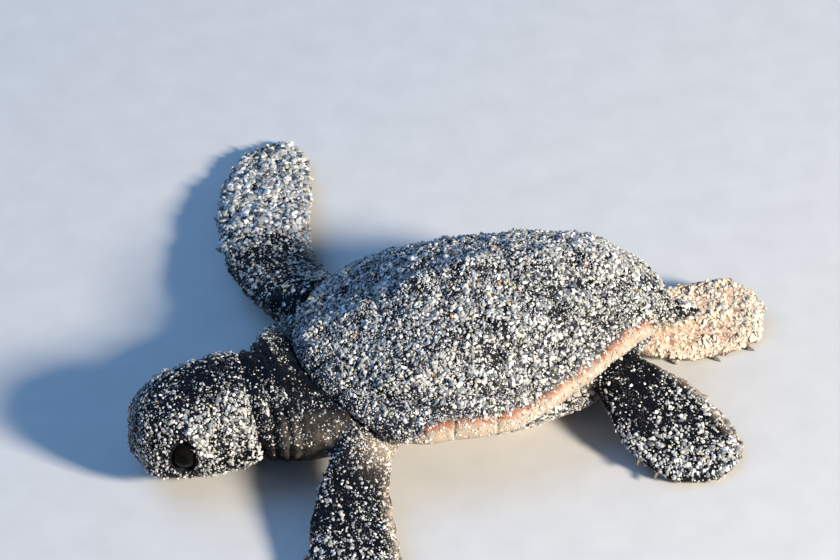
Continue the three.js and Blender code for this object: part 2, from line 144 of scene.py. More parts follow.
class Along:
    """A smooth function of a share from 0 to 1, through values spaced evenly along it."""

    def __init__(self, *values: float) -> None:
        """Keeps the values, with the first and the last repeated as end tangents need them."""
        self.values = np.array([values[0], *values, values[-1]], float)

    def __call__(self, share: Array) -> Array:
        """Returns the value at each share."""
        last = len(self.values) - 3
        place = np.clip(np.asarray(share, float), 0.0, 1.0) * last
        index = np.clip(np.floor(place).astype(int), 0, last - 1)
        w = place - index
        p0, p1, p2, p3 = (self.values[index + k] for k in range(4))
        v0, v1 = (p2 - p0) * 0.5, (p3 - p1) * 0.5
        return (2 * p1 - 2 * p2 + v0 + v1) * w**3 + (3 * (p2 - p1) - 2 * v0 - v1) * w**2 + v0 * w + p1


class Path:
    """A smooth line through a row of points, sampled evenly, with its direction at each sample."""

    SAMPLES = 160

    def __init__(self, points: Sequence[Sequence[float]]) -> None:
        """Samples the line through the points, spaced evenly along its length."""
        p = np.array(points, float)
        p = np.vstack([2 * p[0] - p[1], p, 2 * p[-1] - p[-2]])
        knots = np.concatenate([[0.0], np.cumsum(np.linalg.norm(np.diff(p, axis=0), axis=1) ** 0.5)])
        rows = []
        for i in range(1, len(p) - 2):
            t = np.linspace(knots[i], knots[i + 1], self.SAMPLES, endpoint=i == len(p) - 3)[:, None]
            t0, t1, t2, t3 = knots[i - 1 : i + 3]
            a1 = between(t, t0, t1, p[i - 1], p[i])
            a2 = between(t, t1, t2, p[i], p[i + 1])
            a3 = between(t, t2, t3, p[i + 1], p[i + 2])
            rows.append(between(t, t1, t2, between(t, t0, t2, a1, a2), between(t, t1, t3, a2, a3)))
        line = np.vstack(rows)
        run = np.concatenate([[0.0], np.cumsum(np.linalg.norm(np.diff(line, axis=0), axis=1))])
        even = np.linspace(0.0, run[-1], self.SAMPLES)
        self.points = np.stack([np.interp(even, run, line[:, k]) for k in range(3)], axis=1)
        self.tangents = np.gradient(self.points, axis=0)
        self.tangents /= np.linalg.norm(self.tangents, axis=1)[:, None]

    def share_of(self, places: Array) -> Array:
        """Returns for each place the share of the length at its nearest point of the line."""
        gaps = ((places[:, None] - self.points[None]) ** 2).sum(axis=2)
        return gaps.argmin(axis=1) / (self.SAMPLES - 1)

    def at(self, share: float) -> tuple[Array, Array]:
        """Returns the point and the direction at a share of the length."""
        index = int(round(share * (self.SAMPLES - 1)))
        return self.points[index], self.tangents[index]


# ------------------------ the animal's form


class Side(Enum):
    """A side of the animal, with the sign of its X."""

    LEFT = 1
    RIGHT = -1

    @property
    def word(self) -> str:
        """Returns the side as it stands in a node's name."""
        return self.name.lower()


@dataclass(frozen=True)
class Datum:
    """Where the shell's own axes lie in the row frame, in metres."""

    x: float
    y: float

    PLASTRON_FRONT = -17.5

    @classmethod
    def of_frame(cls) -> "Datum":
        """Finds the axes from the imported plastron, which is even about the midline."""
        low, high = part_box("plastron")
        return cls((low.x + high.x) / 2, low.y - cls.PLASTRON_FRONT * MM)

    def metres(self, points: Array) -> Array:
        """Turns millimetres in the shell's axes into metres in the row frame."""
        return np.asarray(points, float) * MM + np.array([self.x, self.y, 0.0])

    def read(self, mesh: Mesh) -> Array:
        """Returns a mesh's vertices as millimetres in the shell's axes."""
        return (coordinates(mesh) - np.array([self.x, self.y, 0.0])) / MM


@dataclass(frozen=True)
class ShellForm:
    """The smooth form of the carapace: its outline, height and keels, and where its seams run."""

    length: float = 44.5
    width: float = 35.0
    rise: float = 9.8
    dome: float = 1.8
    band: float = 0.84  # share of the way out where the costal plates end
    nuchal_half: float = 4.8
    marginals: int = 12
    serration: float = 0.012
    girth: Along = Along(1.02, 1.18, 1.06, 0.98, 0.86, 0.79, 0.74)
    rim: Along = Along(10.6, 8.3, 8.1, 7.9, 8.9, 10.3, 9.2)
    seams: tuple[float, ...] = (-17.2, -12.2, -5.0, 3.0, 11.2, 18.5)
    seam_halves: tuple[float, ...] = (3.6, 3.5, 3.7, 3.7, 3.3, 4.2)
    corners: tuple[float, ...] = (5.6, 6.0, 6.2, 5.8)
    run_outs: tuple[float, ...] = (-16.5, -8.5, 1.2, 12.5, 26.0)
    far: float = 26.0

    @staticmethod
    def crusted(y: Array) -> Array:
        """Returns how far grey sand hides the pale edge: all of it by the neck and by the tail."""
        return np.maximum(smoothstep(-9.0, -15.0, y), smoothstep(17.0, 20.5, y))

    def share(self, y: Array) -> Array:
        """Returns the share of the shell's length at y."""
        return np.clip(np.asarray(y, float) / self.length + 0.5, 0.0, 1.0)

    def half_width(self, y: Array) -> Array:
        """Returns half the width that one unit of the disc stands for at y."""
        return self.width / 2 * self.girth(self.share(y))

    def outwards(self, x: Array, y: Array) -> Array:
        """Returns how far out a plan point is: 0 on the crown, 1 on the outline."""
        return np.hypot(x / self.half_width(y), np.asarray(y) / (self.length / 2))

    def top(self, x: Array, y: Array) -> Array:
        """Returns the height of the smooth outer surface over a plan point."""
        out = np.minimum(self.outwards(x, y), 1.05)
        return self.rim(self.share(y)) + self.rise * (1 - out**self.dome)

    def on_share(self, out: Array, bearing: Array) -> tuple[Array, Array]:
        """Returns the plan point a share of the way out along a bearing, 0 at the left."""
        y = out * np.sin(bearing) * (self.length / 2)
        return out * np.cos(bearing) * self.half_width(y), y

    def middle(self, plate: int) -> float:
        """Returns the y in the middle of a vertebral plate, 0 at the front."""
        return (self.seams[plate] + self.seams[plate + 1]) / 2

    def keel(self, x: Array, y: Array) -> Array:
        """Returns how high the three keels stand over the smooth shell, highest on each plate's rear."""
        seams = np.array(self.seams)
        plate = np.clip(np.searchsorted(seams, y, side="right") - 1, 0, 4)
        share = np.clip((y - seams[plate]) / (seams[plate + 1] - seams[plate]), 0.0, 1.0)
        knob = np.sin(np.pi * share**1.5) ** 2
        side = bell(np.abs(x) - self.half_width(y) * 0.52, 1.6)
        inside = (y >= seams[0]) & (y < seams[-1])
        return (0.95 * bell(x, 1.7) + 0.55 * side) * (0.35 + 0.65 * knob) * inside


SHELL = ShellForm()


@dataclass(frozen=True)
class Limb:
    """A flipper: the line that it follows and how its section changes along it."""

    name: str
    points: tuple[Triple, ...]
    root_way: Triple
    tip_way: Triple
    chord: Along
    sweep: Along
    claws: tuple[float, float]

    def leading(self, share: float, tangent: Array) -> Array:
        """Returns the direction of the leading edge at a share of the length."""
        turn = float(smoothstep(0.1, 0.7, share))
        way = np.array(self.root_way) * (1 - turn) + np.array(self.tip_way) * turn
        return unit(way - tangent * way.dot(tangent))


FRONT_SHAPE = dict(
    chord=Along(8.6, 7.0, 7.6, 9.8, 11.0, 11.6, 11.5, 10.2, 8.0),
    sweep=Along(0, 0, 0.3, 0.5, 0.4, 0.2, 0, -0.4, -0.9),
    claws=(0.5, 0.64),
)
HIND_SHAPE = dict(
    chord=Along(5.6, 5.8, 6.8, 8.6, 10.2, 11, 10.6, 8.4),
    sweep=Along(0, 0, 0, 0.2, 0.3, 0.2, 0, -0.3),
    claws=(0.72, 0.84),
)
RIGHT_FRONT_SHAPE = FRONT_SHAPE | dict(
    chord=Along(9.4, 10.4, 11.0, 11.2, 11.3, 11.6, 11.5, 10.2, 8.0),
    sweep=Along(0, 1.1, 1.3, 0.9, 0.5, 0.2, 0, -0.4, -0.9),
)
LEFT_HIND_SHAPE = HIND_SHAPE | dict(chord=Along(5.6, 6.8, 9.2, 11.6, 12.8, 12.8, 11.6, 8.8))
RIGHT_HIND_SHAPE = HIND_SHAPE | dict(
    chord=Along(6.2, 7.2, 8.6, 9.9, 10.7, 11, 10.6, 8.4),
    sweep=Along(0, 0.4, 0.8, 0.7, 0.5, 0.2, 0, -0.3),
)
LIMBS = (
    Limb(
        "front_flipper_left",
        (
            *((7.5, -11, 7), (13, -16.4, 5.8), (20, -19.6, 3.6)),
            *((29, -21.6, 1.8), (40, -24.6, 1), (51, -28.6, 0.5)),
        ),
        (-0.5, -0.9, 0.1),
        (-0.3, -0.95, 0),
        **FRONT_SHAPE,
    ),
    Limb(
        "front_flipper_right",
        ((-7.5, -11, 7), (-14, -16.6, 6), (-25, -19.8, 4), (-38.6, -18.6, 2.2), (-52.8, -15.2, 0.5)),
        (0.4, -0.9, 0.1),
        (-0.2, -0.97, 0),
        **RIGHT_FRONT_SHAPE,
    ),
    Limb(
        "hind_flipper_left",
        ((5.5, 9.5, 5.8), (9, 13.4, 5), (14, 16.8, 3.4), (20, 19.3, 1.7), (25.4, 20.9, 0.5)),
        (0.6, -0.8, 0),
        (0.35, -0.93, 0),
        **LEFT_HIND_SHAPE,
    ),
    Limb(
        "hind_flipper_right",
        ((-6, 9.5, 5.8), (-5.2, 14.5, 4.8), (-2.2, 20, 3.2), (-1.5, 27, 2.1), (-2.6, 34, 2.2)),
        (1, 0, -0.1),
        (1, 0, -0.36),
        **RIGHT_HIND_SHAPE,
    ),
)


@dataclass(frozen=True)
class HeadForm:
    """Where the head sits and how it is turned, and the places on it in its own axes (snout at -Y)."""

    centre: Triple = (4.8, -34.2, 6.4)
    pitch: float = 0.14
    yaw: float = 0.02
    length: float = 18.8
    eye_side: float = 4.6
    eye_ahead: float = -3.1
    eye_up: float = 0.3
    eye_radius: float = 2.1

    @property
    def matrix(self) -> Array:
        """Returns the turn from the head's axes to the shell's."""
        turn = Matrix.Rotation(self.yaw, 3, "Z") @ Matrix.Rotation(self.pitch, 3, "X")
        return np.array(turn)

    def local(self, points: Array) -> Array:
        """Turns points in the shell's axes into the head's own."""
        return (np.asarray(points, float) - np.array(self.centre)) @ self.matrix

    def placed(self, points: Array) -> Array:
        """Turns points in the head's own axes into the shell's."""
        return np.asarray(points, float) @ self.matrix.T + np.array(self.centre)

    def eye(self, side: Side) -> Array:
        """Returns the centre of an eyeball in the head's own axes."""
        return np.array([side.value * self.eye_side, self.eye_ahead, self.eye_up])

    def gaze(self, side: Side) -> Array:
        """Returns the way that an eye looks in the head's own axes: out, and a little ahead and up."""
        return unit(np.array([side.value * 0.955, -0.29, 0.06]))


HEAD = HeadForm()


# ------------------------ meshes


def coordinates(mesh: Mesh) -> Array:
    """Returns a mesh's vertices, one a row, in metres."""
    found = np.empty(len(mesh.vertices) * 3, np.float32)
    mesh.vertices.foreach_get("co", found)
    return found.reshape(-1, 3).astype(float)


def directions(mesh: Mesh) -> Array:
    """Returns the vertex normals of a mesh, one a row."""
    found = np.empty(len(mesh.vertices) * 3, np.float32)
    mesh.vertex_normals.foreach_get("vector", found)
    return found.reshape(-1, 3).astype(float)


def move_to(mesh: Mesh, points: Array) -> None:
    """Puts the mesh's vertices at these places, in metres."""
    mesh.vertices.foreach_set("co", np.asarray(points, np.float32).ravel())
    mesh.update()


def object_of(name: str, mesh: Mesh) -> Object:
    """Makes an object of a mesh, in the scene and at the origin."""
    mesh.name = name
    made = bpy.data.objects.new(name, mesh)
    bpy.context.scene.collection.objects.link(made)
    return made


def smooth_shaded(mesh: Mesh, smooth: bool = True) -> None:
    """Shades every face of the mesh smooth, or flat."""
    mesh.polygons.foreach_set("use_smooth", np.full(len(mesh.polygons), smooth))
    mesh.update()


def store(mesh: Mesh, name: str, values: Array) -> None:
    """Writes one number a vertex into a named attribute."""
    layer = mesh.attributes.get(name) or mesh.attributes.new(name, "FLOAT", "POINT")
    layer.data.foreach_set("value", np.asarray(values, np.float32))


def evaluated_mesh(made: Object) -> Mesh:
    """Returns the object's mesh with its modifiers applied, as a new plain mesh."""
    bpy.context.view_layer.update()
    graph = bpy.context.evaluated_depsgraph_get()
    return bpy.data.meshes.new_from_object(made.evaluated_get(graph), depsgraph=graph)


def discard(made: Object) -> None:
    """Removes a helper object with its mesh."""
    mesh = made.data
    bpy.data.objects.remove(made)
    if mesh.users == 0:
        bpy.data.meshes.remove(mesh)


def around(values: Array, edges: Array) -> Array:
    """Returns for each vertex the mean of a number over the vertices that share an edge with it."""
    count = len(values)
    total = np.bincount(edges[:, 0], values[edges[:, 1]], count)
    total += np.bincount(edges[:, 1], values[edges[:, 0]], count)
    return total / np.bincount(edges.ravel(), minlength=count)


STEP_IN, STEP_OUT = 0.5, 0.53  # how far the two steps of an evening go in and back out


def evened(points: Array, edges: Array, rounds: int) -> Array:
    """Smooths a surface without shrinking it, by Taubin's pair of steps.

    Args:
        points: the vertices.
        edges: pairs of vertex numbers.
        rounds: how many pairs of steps.

    Returns:
        The smoothed vertices.
    """
    for step in (STEP_IN, -STEP_OUT) * rounds:
        mean = np.stack([around(column, edges) for column in points.T], axis=1)
        points = points + step * (mean - points)
    return points


def edge_pairs(mesh: Mesh) -> Array:
    """Returns the mesh's edges as pairs of vertex numbers."""
    found = np.empty(len(mesh.edges) * 2, np.int32)
    mesh.edges.foreach_get("vertices", found)
    return found.reshape(-1, 2)


def round_about(count: int) -> Array:
    """Returns angles spaced evenly round a circle, as one row."""
    return np.linspace(0, 2 * np.pi, count + 1)[:-1][None, :]


def quad_grid(rows: int, columns: int, closed: bool = False) -> list[tuple[int, int, int, int]]:
    """Returns the faces of a grid of vertices numbered row by row, closed round its columns if asked."""
    last = columns if closed else columns - 1
    steps = [(j, (j + 1) % columns) for j in range(last)]
    starts = range(0, (rows - 1) * columns, columns)
    return [(i + a, i + b, i + columns + b, i + columns + a) for i in starts for a, b in steps]


def bar_faces(rows: int, columns: int) -> list[tuple[int, ...]]:
    """Returns the faces of a solid bar whose rings of vertices are numbered row by row."""
    near_end = tuple(range(columns - 1, -1, -1))
    far_end = tuple(range((rows - 1) * columns, rows * columns))
    return [*quad_grid(rows, columns, closed=True), near_end, far_end]


def mesh_of(work: bmesh.types.BMesh, name: str) -> Mesh:
    """Turns an edit mesh into a new mesh, and frees it."""
    mesh = bpy.data.meshes.new(name)
    work.to_mesh(mesh)
    work.free()
    return mesh


def mesh_from(points: Array, faces: Sequence[Sequence[int]]) -> Mesh:
    """Makes a mesh of points in metres, with doubles merged and the normals turned out."""
    mesh = bpy.data.meshes.new("form")
    mesh.from_pydata([tuple(p) for p in points], [], faces)
    work = bmesh.new()
    work.from_mesh(mesh)
    bmesh.ops.remove_doubles(work, verts=work.verts, dist=MERGE)
    bmesh.ops.recalc_face_normals(work, faces=work.faces)
    work.to_mesh(mesh)
    work.free()
    smooth_shaded(mesh)
    return mesh


def joined(meshes: Iterable[Mesh]) -> Mesh:
    """Joins several meshes into one, and removes them."""
    work = bmesh.new()
    for mesh in meshes:
        work.from_mesh(mesh)
        bpy.data.meshes.remove(mesh)
    whole = mesh_of(work, "joined")
    smooth_shaded(whole)
    return whole


def settle(made: Object, nodes: Sequence[str]) -> Object:
    """Makes a finished piece ride on the frame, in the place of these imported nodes."""
    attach(made, BODY)
    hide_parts(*nodes)
    LOG.info("%s: %d faces", made.name, len(made.data.polygons))
    return made


# ------------------------ skin


class Region(Enum):
    """A region of the skin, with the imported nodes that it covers."""

    TRUNK = ("trunk",)
    NECK = ("neck",)
    HEAD = ("head", "lower_jaw")
    TAIL = ("tail",)
    FRONT_LEFT = ("front_flipper_left_arm", "front_flipper_left_blade")
    FRONT_RIGHT = ("front_flipper_right_arm", "front_flipper_right_blade")
    HIND_LEFT = ("hind_flipper_left_shank", "hind_flipper_left_foot")
    HIND_RIGHT = ("hind_flipper_right_shank", "hind_flipper_right_foot")


LIMB_REGIONS = (Region.FRONT_LEFT, Region.FRONT_RIGHT, Region.HIND_LEFT, Region.HIND_RIGHT)


@dataclass
class Skin:
    """The one skin over trunk, neck, head, flippers and tail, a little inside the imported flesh."""

    datum: Datum
    cut: float = 0.27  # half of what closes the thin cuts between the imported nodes, with some to spare
    cell: float = 0.365  # edge of the skin's quads
    depth: float = 0.17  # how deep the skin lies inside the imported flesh, which is the sand's depth
    evening: int = 7  # rounds of smoothing before the skin is drawn in, and after
    settling: int = 3
    head_share: float = 0.56  # how far round the head and the eyes the quads are halved, by their size
    eye_share: float = 1.45
    plate_seam: float = 0.16  # depths of what is pressed into the head
    scale_seam: float = 0.1
    mouth: float = 0.34
    nostril: float = 0.5
    lid_width: float = 1.42  # half the opening between the lids
    lid_height: float = 2.1
    lid_rim: float = 0.42  # how far the lids stand over the ball, and how deep their opening goes
    lid_depth: float = 0.55
    eye_room: float = 0.35  # how far the balls that lift the lids stand over the eyeballs
    eye_lean: float = 0.2  # how far the opening of the lids leans back at its top, in radians
    form: Mesh = field(init=False)
    places: Array = field(init=False)
    normals: Array = field(init=False)
    regions: Array = field(init=False)
    reach: dict[Region, Array] = field(init=False, default_factory=dict)  # share along each limb
    crack: Array = field(init=False)
    lid_oval: Array = field(init=False)  # how far out from an eye's middle: 1 at the lids' edge

    def build(self, nodes: dict[str, Object]) -> Object:
        """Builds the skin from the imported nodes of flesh.

        Args:
            nodes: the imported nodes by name.

        Returns:
            The skin, in the scene, with an attribute for each thing that its material reads.
        """
        self.form = self.united(nodes)
        self.refine_head()
        self.read_places()
        self.find_regions(nodes)
        self.shape()
        self.mark()
        smooth_shaded(self.form)
        return object_of("skin", self.form)

    def fattened(self, node: Object) -> Mesh:
        """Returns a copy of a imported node, welded and grown by the cut on every side."""
        work = bmesh.new()
        work.from_mesh(node.data)
        bmesh.ops.remove_doubles(work, verts=work.verts, dist=WELD)
        work.normal_update()
        for vertex in work.verts:
            vertex.co += vertex.normal * self.cut * MM
        return mesh_of(work, node.name)

    def eyeballs(self) -> list[Mesh]:
        """Returns a ball in each socket, so that the skin bulges over the eyes as the lids do."""
        balls = []
        radius = (HEAD.eye_radius + self.eye_room) * MM
        for side in Side:
            work = bmesh.new()
            bmesh.ops.create_uvsphere(work, u_segments=24, v_segments=16, radius=radius)
            centre = self.datum.metres(HEAD.placed(HEAD.eye(side)))
            bmesh.ops.translate(work, verts=work.verts, vec=Vector(centre))
            balls.append(mesh_of(work, "ball"))
        return balls

    def united(self, nodes: dict[str, Object]) -> Mesh:
        """Returns the flesh as one even surface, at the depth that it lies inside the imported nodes."""
        flesh = [self.fattened(nodes[name]) for region in Region for name in region.value]
        helper = object_of("flesh", joined(flesh + self.eyeballs()))
        remesh = helper.modifiers.new("union", "REMESH")
        remesh.mode = "VOXEL"
        remesh.voxel_size = self.cell * MM
        remesh.adaptivity = 0.0
        mesh = evaluated_mesh(helper)
        discard(helper)
        move_to(mesh, evened(coordinates(mesh), edge_pairs(mesh), self.evening))
        inset = (self.cut + self.depth) * MM
        move_to(mesh, coordinates(mesh) - directions(mesh) * inset)
        move_to(mesh, evened(coordinates(mesh), edge_pairs(mesh), self.settling))
        return mesh

    def refine_head(self) -> None:
        """Halves the quads over the head, and again round the eyes, so that plates and lids are crisp."""
        work = bmesh.new()
        work.from_mesh(self.form)
        eyes = [HEAD.placed(HEAD.eye(side)) for side in Side]
        spots = [(HEAD.centre, self.head_share * HEAD.length)]
        spots += [(eye, self.eye_share * HEAD.eye_radius) for eye in eyes]
        for middle, reach in spots:
            near = Vector(self.datum.metres(middle))
            edges = [e for e in work.edges if all((v.co - near).length < reach * MM for v in e.verts)]
            bmesh.ops.subdivide_edges(work, edges=edges, cuts=1, use_grid_fill=True, smooth=0.0)
        bmesh.ops.triangulate(work, faces=[f for f in work.faces if len(f.verts) > 4])
        work.to_mesh(self.form)
        work.free()

    def read_places(self) -> None:
        """Reads the vertices and normals into the shell's axes."""
        self.places = self.datum.read(self.form)
        self.normals = directions(self.form)

    def find_regions(self, nodes: dict[str, Object]) -> None:
        """Finds the region that each vertex lies in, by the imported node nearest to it."""
        best = np.full(len(self.places), np.inf)
        self.regions = np.zeros(len(self.places), int)
        points = [Vector(p) for p in coordinates(self.form)]
        for number, region in enumerate(Region):
            for name in region.value:
                mesh = nodes[name].data
                faces = [tuple(p.vertices) for p in mesh.polygons]
                tree = BVHTree.FromPolygons([v.co.copy() for v in mesh.vertices], faces)
                gaps = np.array([tree.find_nearest(p)[3] for p in points])
                nearer = gaps < best
                self.regions[nearer] = number
                best[nearer] = gaps[nearer]
        for region, limb in zip(LIMB_REGIONS, LIMBS):
            here = self.within(region)
            share = np.zeros(len(self.places))
            share[here] = Path(limb.points).share_of(self.places[here])
            self.reach[region] = share

    def within(self, *regions: Region) -> Array:
        """Returns which vertices lie in any of the regions."""
        return np.isin(self.regions, [list(Region).index(region) for region in regions])

    def spread(self, mask: Array, rounds: int) -> Array:
        """Returns a mask softened over its border, from 0 to 1."""
        soft = mask.astype(float)
        edges = edge_pairs(self.form)
        for _ in range(rounds):
            soft = 0.5 * soft + 0.5 * around(soft, edges)
        return soft

    def shape(self) -> None:
        """Presses the folds, scales, lids, mouth and nostrils into the skin."""
        self.crack = np.zeros(len(self.places))
        push = self.neck_folds() + self.limb_relief() + self.head_relief() + self.pockets()
        self.places = self.places + self.normals * push[:, None]
        self.tuck_in()
        self.open_eyes()
        self.places[:, 2] = np.maximum(self.places[:, 2], 0.0)
        move_to(self.form, self.datum.metres(self.places))
        self.normals = directions(self.form)

    def tuck_in(self) -> None:
        """Leads the skin of the neck under the shell's front edge and closes it up to the shell."""
        x, y, z = self.places.T
        out = SHELL.outwards(x, y)
        neck = self.within(Region.NECK, Region.TRUNK) & (y < -12) & (out > 1)
        near = smoothstep(1.15, 1.03, out) * neck
        ceiling = SHELL.top(x / out, y / out) - 0.45
        wall = smoothstep(0.3, 0.8, self.normals[:, 1]) * smoothstep(1.1, 1.07, out) * neck
        self.places[:, 2] -= near * np.maximum(z - ceiling, 0.0)
        self.places[:, 1] += 0.25 * wall

    # The folds across the neck: how far down it each one lies, its height and its width.
    CREASES = ((-28.4, -0.85, 0.4), (-26.8, -0.3, 0.3), (-25.4, -0.22, 0.34), (-24.0, -0.16, 0.4))
    SWELLS = ((-27.6, 0.34, 0.6), (-26.0, 0.14, 0.5), (-24.6, 0.1, 0.5))

    def neck_folds(self) -> Array:
        """Returns the folds of loose skin round the neck, in millimetres outwards."""
        _, y, z = self.places.T
        body = self.within(Region.HEAD, Region.NECK, Region.TRUNK)
        neck = self.spread(body, 4) * smoothstep(-29.6, -28.9, self.down_neck(self.places))
        along = self.down_neck(self.places) + 0.8 * fine_noise(self.places, 6.0, 2)
        small = 0.15 * np.sin(2 * np.pi * along / 1.25) + 0.08 * np.sin(2 * np.pi * along / 0.86 + 1.3)
        patchy = 0.3 + 0.7 * smoothstep(-0.35, 0.4, fine_noise(self.places, 4.0, 2))
        creases, swells = (
            sum(height * bell(along - place, width) for place, height, width in folds)
            for folds in (self.CREASES, self.SWELLS)
        )
        throat = smoothstep(5.5, 2.5, z)
        crown = 1 - 0.55 * smoothstep(10.0, 12.0, z)
        grain = 0.07 * fine_noise(self.places, 0.9, 2)
        front = smoothstep(-14.5, -18.0, y)
        deep = (creases + swells) * (1 - 0.35 * smoothstep(10.0, 12.5, z))
        return neck * ((small * patchy * crown + deep) * (1 - 0.6 * throat) * front + grain)

    def pockets(self) -> Array:
        """Returns how far the soft flanks swell towards the shell's edge, in millimetres outwards."""
        flank = self.within(Region.TRUNK) & (self.places[:, 1] > 0) & (np.abs(self.normals[:, 2]) < 0.8)
        return 0.3 * self.spread(flank, 3)

    @staticmethod
    def down_neck(points: Array) -> Array:
        """Returns how far down the neck each point is, along its folds: -29 behind the head."""
        x, y, z = points.T
        return y + 0.12 * (z - 8.0) + 0.008 * (x - 4.0) ** 2

    def limb_relief(self) -> Array:
        """Returns the scales and folds of the flippers and tail, in millimetres outwards."""
        push = np.zeros(len(self.places))
        for region, limb in zip(LIMB_REGIONS, LIMBS):
            here = np.flatnonzero(self.within(region))
            share = self.reach[region][here]
            points = self.places[here]
            lead = self.lead_of(limb, points, share)
            cell = 1.25 + 0.55 * np.clip(lead, 0, 1)
            gap = cell_cracks(points / cell[:, None], 1.0)
            groove = 1 - smoothstep(0.02, 0.2, gap)
            scaly = smoothstep(0.12, 0.4, share)
            fold = 0.14 * np.sin(2 * np.pi * share * 26 + 2.0 * fine_noise(points, 3.0, 2)) * (1 - scaly)
            push[here] += fold - 0.12 * groove * scaly + 0.05 * fine_noise(points, 0.8, 2)
            self.crack[here] = groove * scaly
        tail = np.flatnonzero(self.within(Region.TAIL))
        gap = cell_cracks(self.places[tail], 0.9)
        push[tail] -= 0.1 * (1 - smoothstep(0.02, 0.2, gap))
        return push

    @staticmethod
    def lead_of(limb: Limb, points: Array, share: Array) -> Array:
        """Returns how near each point is to the leading edge: 1 on it and -1 on the trailing edge."""
        path = Path(limb.points)
        index = np.round(share * (path.SAMPLES - 1)).astype(int)
        ways = np.array([limb.leading(k / (path.SAMPLES - 1), path.tangents[k]) for k in range(path.SAMPLES)])
        across = ((points - path.points[index]) * ways[index]).sum(axis=1) - limb.sweep(share)
        return across / (limb.chord(share) / 2)

    # Middles of the large plates on top of the head and the temples, on the left or on the midline.
    HEAD_PLATES = (
        (0.0, -7.4), (1.3, -5.9), (0.0, -4.3), (1.5, -3.6), (0.0, -1.2), (3.4, -3.3), (2.4, 0.2),
        (0.0, 1.9), (3.0, 3.2), (4.9, -0.6), (4.7, 2.2), (1.2, 5.0), (4.0, 5.8),
    )

    def head_relief(self) -> Array:
        """Returns the plates, mouth line and nostrils of the head, in millimetres outwards."""
        here = np.flatnonzero(self.within(Region.HEAD))
        local = HEAD.local(self.places[here])
        x, y, z = local.T
        side = np.abs(x)
        seeds = np.array(self.HEAD_PLATES)
        both = np.vstack([seeds, seeds[seeds[:, 0] > 0] * (-1, 1)])
        jitter = 0.25 * fine_noise(local, 2.0, 2)
        gaps = np.hypot(x[:, None] - both[None, :, 0] + jitter[:, None], y[:, None] - both[None, :, 1])
        gaps.sort(axis=1)
        top = smoothstep(1.6, 2.6, z)
        plates = (1 - smoothstep(0.08, 0.42, gaps[:, 1] - gaps[:, 0])) * top
        cheek = smoothstep(-6.0, -3.0, y) * (1 - top)
        scales = (1 - smoothstep(0.03, 0.2, cell_cracks(local, 1.9))) * cheek
        mouth = self.mouth_line(local)
        holes = [np.array([s * 0.75, -9.0, 1.0]) for s in (1, -1)]
        nostril = sum(bell(np.linalg.norm(local - hole, axis=1), 0.34) for hole in holes)
        relief = -self.plate_seam * plates - self.scale_seam * scales
        relief = relief - self.mouth * mouth - self.nostril * nostril
        relief += 0.05 * fine_noise(local, 1.1, 2) + 0.12 * bell(np.hypot(side - 4.2, y + 3.2), 1.4) * top
        ahead = smoothstep(-28.6, -29.4, self.down_neck(self.places[here]))
        push = np.zeros(len(self.places))
        push[here] = relief * ahead
        self.crack[here] = np.maximum.reduce([plates, scales * 0.8, mouth, nostril]) * ahead
        return push

    @staticmethod
    def mouth_line(local: Array) -> Array:
        """Returns the mouth line between the jaws: 1 in its groove and 0 away from it."""
        _, y, z = local.T
        level = -3.05 - 0.12 * (y + 8.9) + 0.25 * np.sin((y + 9.0) * 0.55)
        return bell(z - level, 0.2) * smoothstep(-1.2, -2.2, y)

    def open_eyes(self) -> None:
        """Opens the lids over each eyeball, with a thick rim and a fold round it."""
        radius = HEAD.eye_radius
        self.lid_oval = np.full(len(self.places), 9.0)
        for side in Side:
            local = HEAD.local(self.places)
            from_eye = local - HEAD.eye(side)
            far = np.linalg.norm(from_eye, axis=1)
            out = HEAD.gaze(side)
            up = unit(np.array([0.0, 0.0, 1.0]) - out * out[2])
            fore = np.cross(out, up)
            ahead, level = from_eye @ fore * side.value, from_eye @ up
            across = ahead * math.cos(self.eye_lean) + level * math.sin(self.eye_lean)
            rise = level * math.cos(self.eye_lean) - ahead * math.sin(self.eye_lean)
            facing = from_eye @ out
            oval = np.hypot(across / self.lid_width, rise / (self.lid_height - 0.12 * across))
            near = (far < 2 * radius) & (facing > 0)
            self.lid_oval = np.where(near, np.minimum(self.lid_oval, oval), self.lid_oval)
            ball = np.sqrt(np.maximum(radius**2 - across**2 - rise**2, 0.0))
            lid = ball + self.lid_rim
            depth = np.where(oval < 1.0, ball - self.lid_depth, np.maximum(facing, lid))
            blend = smoothstep(0.96, 1.1, oval)
            rim = 0.06 * bell(oval - 1.16, 0.12) - 0.09 * bell(oval - 1.38, 0.1)
            wanted = depth * (1 - blend) + blend * np.where(oval < 1.5, np.maximum(facing, lid), facing)
            shift = np.where(near & (oval < 2.2), wanted - facing + rim * (oval > 1.0), 0.0)
            self.places = self.places + HEAD.matrix @ out * shift[:, None]

